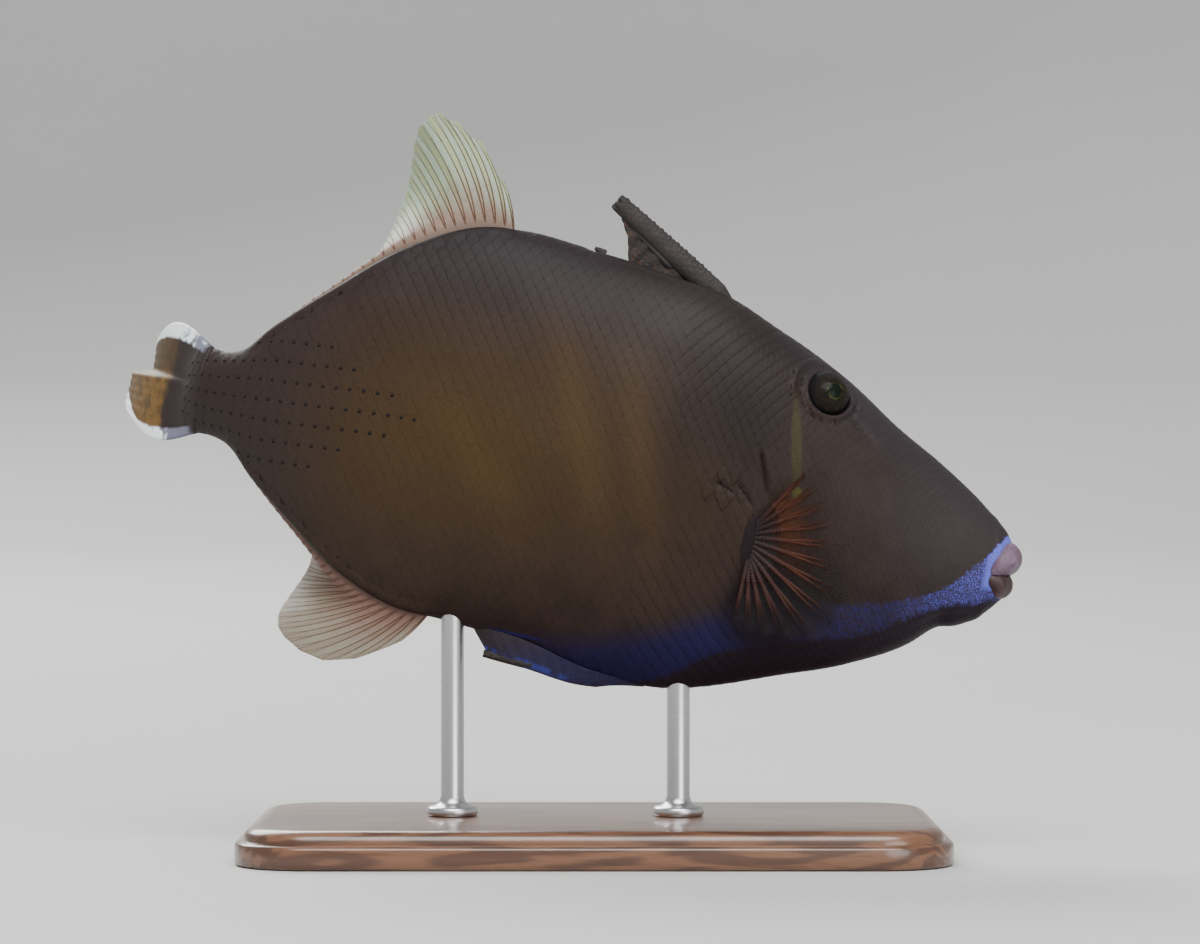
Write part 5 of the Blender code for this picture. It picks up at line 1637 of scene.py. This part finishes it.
def pectoral_web_material():
    """Nearly clear and dark at the root, orange along the upper rays; the lower rays' dark veil is painted
    shadow.
    """
    material, nodes, shader = new_material("pectoral_web", 0.5, Specular_IOR_Level=0.2)
    run, across = nodes.attribute("run"), nodes.attribute("across")
    root = nodes.step(run, 0.34, 0.16)
    upper = nodes.times(nodes.step(across, 0.62, 0.20), nodes.step(run, 0.80, 0.30))
    color = nodes.mix(upper, (0.006, 0.004, 0.005), (0.085, 0.026, 0.008))
    color = nodes.mix(root, color, (0.014, 0.009, 0.011))
    set_color(nodes, shader, color)
    # Painted shadow: over the lower rays the web is a dark veil standing for the fin's shadow on the body.
    lower = nodes.times(nodes.step(across, 0.30, 0.60), nodes.step(run, 1.0, 0.85))
    tint_and_shadow_veil = nodes.plus(nodes.times(upper, 0.42), nodes.times(lower, 0.40))
    nodes.plug(shader.inputs["Alpha"], nodes.larger(nodes.plus(tint_and_shadow_veil, 0.04), root))
    return material


pectoral_web = pectoral_web_material()
pectoral_ray = ray_material(
    "pectoral_ray", (0.020, 0.011, 0.012), (0.058, 0.017, 0.008), root_reach=(0.06, 0.42), fades=(0.45, 0.88)
)
shaded_root_material, nodes, shader = new_material("pectoral_root", 0.6, Specular_IOR_Level=0.08)
vector = fish_vector(nodes)
# The root's dark middle is partly its own colour and partly painted shade.
tone = nodes.mix(nodes.noise(vector, 0.8, 3.0), (0.010, 0.007, 0.009), (0.018, 0.012, 0.013))
color, _ = pattern_nodes(nodes)
crown = nodes.step(nodes.attribute("crown"), 0.15, 0.75)
set_color(nodes, shader, nodes.mix(crown, color, tone))
add_bump(nodes, shader, nodes.noise(vector, 2.5, 4.0), 0.5, 0.0002)


def pectoral_root(name, sign):
    """The fleshy root: a flattened ball with shallow furrows that run out into the rays."""
    point, outward, to_tail, upward = flank(PECTORAL_BEHIND, PECTORAL_HEIGHT, sign)
    tilts = np.linspace(0.0, math.pi, 30)[1:-1, None]
    spins = even_turns(64)[None, :]
    deep = 1 + 0.03 * np.cos(spins * 16) * np.sin(tilts) ** 2
    sizes = PECTORAL_ROOT
    grid = (
        to_tail * (sizes[0] * np.sin(tilts) * np.cos(spins) * deep)[..., None]
        + upward * (sizes[1] * np.sin(tilts) * np.sin(spins) * deep)[..., None]
        + outward * (sizes[2] * np.cos(tilts) * np.ones_like(spins))[..., None]
    )
    points = grid + point + outward * 0.2 * MM
    made = face_out(new_piece(name, to_room(points), tube_faces(28, 64), shaded_root_material))
    store_numbers(made, "crown", np.maximum(np.cos(tilts), 0) * np.ones_like(spins))
    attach(made, ROOT)
    return made


for side_name, sign in SIDES.items():
    grid, run, phase = pectoral_grid(sign)
    near_ray = np.abs(np.cos(math.pi * phase))[:, None]
    half_thick = (0.05 + 0.40 * np.exp(-((run / 0.15) ** 2))) * MM * np.ones_like(near_ray)
    numbers = {"run": run[None, :], "near_ray": near_ray, "across": (phase / (PECTORAL_RAYS - 1))[:, None]}
    web = fin_skin("pectoral_web_" + side_name, grid, half_thick, pectoral_web, numbers)
    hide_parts("pectoral_fin_" + side_name)
    rays = (grid, PECTORAL_RAYS, PECTORAL_PER_RAY, pectoral_ray, 0.74 * MM, "pectoral_web", (0.30, 0.7), 0.17)
    fin_rays("pectoral_rays_" + side_name, *rays)
    pectoral_root("pectoral_root_" + side_name, sign)

# %% [markdown]
# The first dorsal spine is the trigger: a stout rough bone that the fish can lock upright. Here it lies
# half folded, with the short second spine and a web of dark skin behind it. A spine is a tapered tube whose
# front edge carries rows of small knobs.

# %% Spines
SPINE_ROOT, SPINE_RISE, SPINE_LENGTH = (72.5 * MM, 40.45 * MM), math.radians(31.5), 32.4 * MM
# Root, rise, length, half depth, half width, the tip's share of them, and the height of the knobs.
SECOND_SPINE = ((86.0 * MM, 45.8 * MM), math.radians(34), 12.5 * MM, 0.9 * MM, 0.8 * MM, 0.4, 0.12 * MM)
THIRD_SPINE = ((100.4 * MM, 45.7 * MM), math.radians(22), 2.6 * MM, 1.0 * MM, 0.7 * MM, 0.35, 0.10 * MM)
SPINE_STEPS, SPINE_RING = 150, 48
TIP_JAGS, JAG_LENGTH = 7, 1.1 * MM

bone_material, nodes, shader = new_material("spine_rough", 0.6, Specular_IOR_Level=0.3)
vector = fish_vector(nodes)
knob = nodes.attribute("knob")
tone = nodes.mix(nodes.noise(vector, 0.5, 4.0), (0.012, 0.009, 0.010), (0.034, 0.026, 0.025))
tone = nodes.layer(tone, (0.060, 0.048, 0.046), nodes.step(knob, 0.2, 0.9), 0.4)
set_color(nodes, shader, tone)
add_bump(nodes, shader, nodes.noise(vector, 2.2, 5.0, 0.65), 0.8, 0.0003)


def spine(name, root, rise, length, half_deep, half_wide, tip_share, knob_height):
    """A tapered spine in the middle plane, with staggered knobs over its front and a ragged tip."""
    run = np.linspace(0.0, 1.0, SPINE_STEPS)
    round_end = np.sqrt(np.maximum(1 - (np.maximum(run - 0.975, 0) / 0.027) ** 2, 0))
    taper = (1 - (1 - tip_share) * run**1.6) * round_end * np.minimum(0.6 + 4.0 * run, 1.0)
    forward = np.array([math.cos(rise), 0.0, math.sin(rise)])
    front = np.array([-math.sin(rise), 0.0, math.cos(rise)])
    left = np.array([0.0, 1.0, 0.0])
    spin = even_turns(SPINE_RING)
    rows, beads = run[:, None] * length / (1.15 * MM), spin[None, :] * 9 / (2 * math.pi)
    stagger = np.where(rows.astype(int) % 2 == 0, 0.0, math.pi / 2)
    knobs = np.clip(np.sin(math.pi * (rows % 1)) * np.cos(math.pi * beads + stagger) ** 2, 0, 1) ** 1.5
    facing = np.clip(np.cos(spin)[None, :] * 0.75 + 0.45, 0, 1)
    knobs = knobs * facing * np.clip((run[:, None] - 0.12) * 6, 0, 1) * (run[:, None] < 0.95)
    centres = np.array([root[0], 0.0, root[1]]) + forward * (length * run)[:, None]
    grow = knob_height * knobs
    deep = half_deep * taper[:, None] + grow
    wide = half_wide * taper[:, None] + grow
    points = centres[:, None] + front * (deep * np.cos(spin))[..., None]
    points = points + left * (wide * np.sin(spin))[..., None]
    jags = JAG_LENGTH * (half_deep / (2.6 * MM)) * np.cos(TIP_JAGS * spin)[None, :] * taper[:, None]
    points = points + forward * (jags * np.clip((run[:, None] - 0.88) / 0.08, 0, 1))[..., None]
    faces = tube_faces(SPINE_STEPS, SPINE_RING)
    made = face_out(new_piece(name, to_room(points), faces, bone_material))
    store_numbers(made, "knob", knobs)
    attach(made, ROOT)
    return made


first = spine("trigger_spine", SPINE_ROOT, SPINE_RISE, SPINE_LENGTH, 2.6 * MM, 1.6 * MM, 0.72, 0.28 * MM)
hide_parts("first_dorsal_fin")
spine("second_spine", *SECOND_SPINE)
spine("third_spine", *THIRD_SPINE)

# %% [markdown]
# The web between the spines is soft dark skin. It hangs in slack folds from the first spine and is streaked
# with rusty orange near the back.

# %% Web of the first dorsal fin
WEB_START, WEB_END = 79.5 * MM, 95.2 * MM
WEB_REAR_EDGE = ((96.3, 50.3), (98.4, 53.9))
WEB_COLUMNS, WEB_ROWS = 90, 34
WEB_ON_BACK = 0.66

web_dark, nodes, shader = new_material("spine_web", 0.6, Specular_IOR_Level=0.3)
run, across = nodes.attribute("run"), nodes.attribute("across")
vector = fish_vector(nodes)
tone = nodes.mix(nodes.noise(vector, 0.6, 4.0), (0.007, 0.005, 0.006), (0.022, 0.015, 0.013))
warped = nodes.plus(across, nodes.times(nodes.noise(vector, 0.4), 0.2))
streaks = nodes.sine(nodes.times(warped, 60.0))
rusty = nodes.times(nodes.step(streaks, 0.2, 1.0), nodes.step(run, 0.45, 0.95), 0.6)
set_color(nodes, shader, nodes.mix(rusty, tone, (0.060, 0.022, 0.008)))
add_bump(nodes, shader, nodes.noise(vector, 1.6, 4.0), 0.7, 0.0003)


def spine_web(name):
    along = np.linspace(0.0, 0.985, WEB_COLUMNS)
    down = np.linspace(0.0, 1.0, WEB_ROWS)
    reach = SPINE_LENGTH * (0.19 + 0.74 * along)
    top_behind = SPINE_ROOT[0] + math.cos(SPINE_RISE) * reach
    top_height = SPINE_ROOT[1] + math.sin(SPINE_RISE) * reach
    top = np.stack([top_behind, top_height], -1)
    on_back = np.linspace(WEB_START, WEB_END, 40)
    low_line = np.concatenate([
        np.stack([on_back, back_of(on_back) - 0.6 * MM], -1),
        np.array(WEB_REAR_EDGE) * MM,
        top[-1:],
    ])
    places = np.concatenate([np.linspace(0, WEB_ON_BACK, 40), np.linspace(WEB_ON_BACK, 1, 4)[1:]])
    low = np.stack([np.interp(along, places, low_line[:, k]) for k in (0, 1)], -1)
    flat = top[:, None] + (low - top)[:, None] * down[None, :, None]
    folds = 0.22 * MM * np.sin(along * 38 + 2 * np.sin(along * 9))[:, None] * np.sin(math.pi * down) ** 0.5
    middle = np.stack([flat[..., 0], folds, flat[..., 1]], -1)
    half_thick = np.full(middle.shape[:2], 0.28 * MM)
    web = fin_skin(name, middle, half_thick, web_dark, {"run": down[None, :], "across": along[:, None]})


spine_web("spine_web")

# %% [markdown]
# Along the belly runs the loose flap of the pelvis, which ends in a blunt rough bone. It is a thick sheet
# of skin with low ribs in it, dark, with one thin broken streak of blue along its edge.

# %% Belly flap
FLAP_START, FLAP_END, FLAP_REAR_SLANT = 74.0 * MM, 108.0 * MM, 5.0 * MM
FLAP_DEPTHS = ((74.0, -44.2), (80.0, -45.2), (89.0, -46.0), (98.0, -45.0), (108.0, -43.6))
FLAP_COLUMNS, FLAP_ROWS = 150, 30
FLAP_RIBS = 11
PELVIC_BONE = ((97.5 * MM, -43.6 * MM), math.radians(1.0), 11.6 * MM, 1.3 * MM, 1.25 * MM, 0.62, 0.25 * MM)

flap_material, nodes, shader = new_material("flap_skin", 0.5, Specular_IOR_Level=0.3)
run, across = nodes.attribute("run"), nodes.attribute("across")
color, grain = pattern_nodes(nodes)
streak = nodes.times(nodes.step(run, 0.62, 0.74), nodes.step(run, 0.98, 0.88), nodes.step(across, 0.42, 0.55))
vector = fish_vector(nodes)
broken = nodes.step(nodes.noise(vector, 0.45, 3.0), 0.36, 0.56)
color = nodes.layer(color, (0.018, 0.026, 0.170), streak, broken, 0.85)
set_color(nodes, shader, color)
add_bump(nodes, shader, grain, 0.8, 0.0003)


def belly_flap(name):
    along = np.linspace(0.0, 1.0, FLAP_COLUMNS)[:, None]
    down = np.linspace(0.0, 1.0, FLAP_ROWS)
    edge = FLAP_START + (FLAP_END - FLAP_START) * along
    behind = edge + FLAP_REAR_SLANT * along**3 * (1 - down)
    top = belly_of(behind[:, :1]) + 0.8 * MM
    grown = np.clip((edge - FLAP_START) / (10 * MM), 0, 1)
    shallow = top - 0.85 * MM
    low = shallow + (np.minimum(smooth_curve(FLAP_DEPTHS, 1, edge) * MM, shallow) - shallow) * grown
    height = top + (low - top) * down
    middle = np.stack([behind, np.zeros_like(height), height], -1)
    thinner = 1 - 0.75 * np.clip((along - 0.9) / 0.1, 0, 1)
    ribs = np.sin(along * FLAP_RIBS * 2 * math.pi) * 0.10 * np.sin(math.pi * down)
    half_thick = (0.45 + (1.5 * (1 - down) ** 0.8 + 0.3 + ribs) * grown) * thinner * MM
    half_thick[:, -1] *= 0.6
    flap = fin_skin(name, middle, half_thick, flap_material, {"run": down[None, :], "across": along})
    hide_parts("belly_flap")


belly_flap("pelvic_flap")
spine("pelvic_bone", *PELVIC_BONE)

# %% [markdown]
# The stand is plain: a dark wooden base with a moulded edge and two brushed steel rods with small collars.
# The base is one stack of rounded outlines, each drawn a little smaller or higher than the last.

# %% Stand
BASE_LENGTH, BASE_WIDTH, BASE_HEIGHT = 150.0 * MM, 84.0 * MM, 8.0 * MM
BASE_CENTRE, BASE_CORNER = 7.0 * MM, 16.0 * MM
BASE_MOULDING = (
    (0.9, 0.0), (0.25, 0.25), (0.0, 0.8), (0.0, 4.2), (0.25, 4.7), (0.9, 4.95), (1.5, 5.0),
    (1.75, 5.15), (1.8, 5.5), (1.95, 6.3), (2.5, 7.1), (3.4, 7.65), (4.4, 7.9), (5.2, 8.0),
)
SHARP_EDGE = math.radians(50)
CORNER_STEPS = 16
RODS = {"front": 25.0 * MM, "rear": -23.5 * MM}
ROD_TOPS = {"front": 47.0 * MM, "rear": 60.0 * MM}
ROD_COLLAR = ((5.2, 0.1), (5.5, 0.5), (5.5, 1.5), (5.1, 2.0), (4.2, 2.2), (3.3, 2.5), (2.8, 3.2), (2.5, 4.2))
ROD_RADIUS = 2.5 * MM
ROD_SPOKES = 64


def wood_material():
    material, nodes, shader = new_material("base_wood", 0.32, Coat_Weight=0.45, Coat_Roughness=0.12)
    along_grain = scaled_place(nodes, (26.0, 240.0, 240.0))
    warp = nodes.noise(along_grain, 0.35, 4.0, 0.55)
    fibre = nodes.noise(along_grain, 2.6, 6.0, 0.7)
    rings = nodes.sine(nodes.times(warp, 46.0))
    tone = nodes.mix(nodes.step(rings, -0.8, 0.9), (0.070, 0.028, 0.014), (0.150, 0.066, 0.032))
    tone = nodes.layer(tone, (0.030, 0.012, 0.007), nodes.step(fibre, 0.52, 0.70), 0.55)
    set_color(nodes, shader, tone)
    add_bump(nodes, shader, fibre, 0.25, 0.00015)
    return material


def steel_material():
    material, nodes, shader = new_material("rod_steel", 0.3, Metallic=1.0)
    brushed = nodes.noise(scaled_place(nodes, (300.0, 300.0, 9000.0)), 1.0, 3.0)
    set_color(nodes, shader, nodes.mix(brushed, (0.42, 0.42, 0.43), (0.62, 0.62, 0.63)))
    add_bump(nodes, shader, brushed, 0.15, 0.00005)
    return material


def turned_rings(profile, count, x=0.0):
    """Rings round an upright axis, from radii and heights."""
    spin = even_turns(count)
    return [np.stack([x + r * np.cos(spin), r * np.sin(spin), np.full(count, z)], -1) for r, z in profile]


def base_outline(inset, height):
    points = []
    for quarter in range(4):
        across = BASE_LENGTH / 2 - BASE_CORNER
        deep = BASE_WIDTH / 2 - BASE_CORNER
        x = BASE_CENTRE + (across if quarter in (0, 3) else -across)
        y = deep if quarter in (0, 1) else -deep
        for n in range(CORNER_STEPS):
            angle = math.pi / 2 * (quarter + n / (CORNER_STEPS - 1))
            reach = BASE_CORNER - inset
            points.append((x + reach * math.cos(angle), y + reach * math.sin(angle), height))
    return points


rings = [base_outline(inset * MM, height * MM) for inset, height in BASE_MOULDING]
faces = tube_faces(len(rings), 4 * CORNER_STEPS)
base = face_out(new_piece("base_plate", sum(rings, []), faces, wood_material()))
base.data.set_sharp_from_angle(angle=SHARP_EDGE)
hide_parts("stand_base")
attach(base, ROOT)

# %% Rods
steel = steel_material()
for place, x in RODS.items():
    profile = [(r * MM, BASE_HEIGHT + h * MM) for r, h in ROD_COLLAR] + [(ROD_RADIUS, ROD_TOPS[place])]
    rings = turned_rings(profile, ROD_SPOKES, x)
    faces = tube_faces(len(rings), ROD_SPOKES)
    rod = face_out(new_piece("rod_" + place, np.concatenate(rings), faces, steel))
    rod.data.set_sharp_from_angle(angle=SHARP_EDGE)
    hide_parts("stand_rod_" + place)
    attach(rod, ROOT)
print("stand height in mm:", round(BASE_HEIGHT / MM, 1))

# %% [markdown]
# A pale floor that curves up far away all round keeps attention on the fish from every side. A large soft
# light above the near side does most of the work, a weaker one fills from the front, and a third from
# behind picks out the fins.

# %% Floor and light
BOWL = ((0.5, 0.0), (1.4, 0.0), (2.0, 0.03), (2.5, 0.16), (2.9, 0.45), (3.1, 0.9), (3.15, 1.5), (3.15, 2.6))
BOWL_SPOKES = 64
FLOOR_DROP = 0.0001
FISH_MIDDLE = (0.0, 0.0, 0.08)


def bowl():
    rings = turned_rings(BOWL, BOWL_SPOKES)
    faces = tube_faces(len(rings), BOWL_SPOKES)[:-1]
    material, nodes, shader = new_material("floor_pale", 0.8, Specular_IOR_Level=0.2)
    place = nodes.add("ShaderNodeTexCoord").outputs["Object"]
    tone = nodes.mix(nodes.noise(place, 3.0, 3.0), (0.52, 0.52, 0.51), (0.56, 0.56, 0.55))
    set_color(nodes, shader, tone)
    floor = new_piece("floor", np.concatenate(rings), faces, material)
    floor.location = (0.0, 0.0, -FLOOR_DROP)


def soft_light(name, place, size, power):
    light = bpy.data.lights.new(name, "AREA")
    light.shape = "ELLIPSE"
    light.size, light.size_y = size
    light.energy = power
    lamp = bpy.data.objects.new(name, light)
    lamp.location = place
    lamp.visible_camera = False
    way = np.array(FISH_MIDDLE) - np.array(place)
    way /= np.linalg.norm(way)
    lamp.rotation_euler = (math.acos(-way[2]), 0.0, math.atan2(-way[0], way[1]))
    bpy.context.scene.collection.objects.link(lamp)


bowl()
soft_light("key", (0.12, -1.3, 1.8), (2.1, 1.5), 70.0)
soft_light("fill", (1.2, -2.1, 0.6), (1.5, 1.2), 24.0)
soft_light("rim", (-0.85, 1.55, 1.35), (1.7, 1.2), 54.0)
world = bpy.data.worlds.new("studio")
world.use_nodes = True
world.node_tree.nodes["Background"].inputs["Color"].default_value = (0.72, 0.73, 0.75, 1.0)
world.node_tree.nodes["Background"].inputs["Strength"].default_value = 0.8
bpy.context.scene.world = world
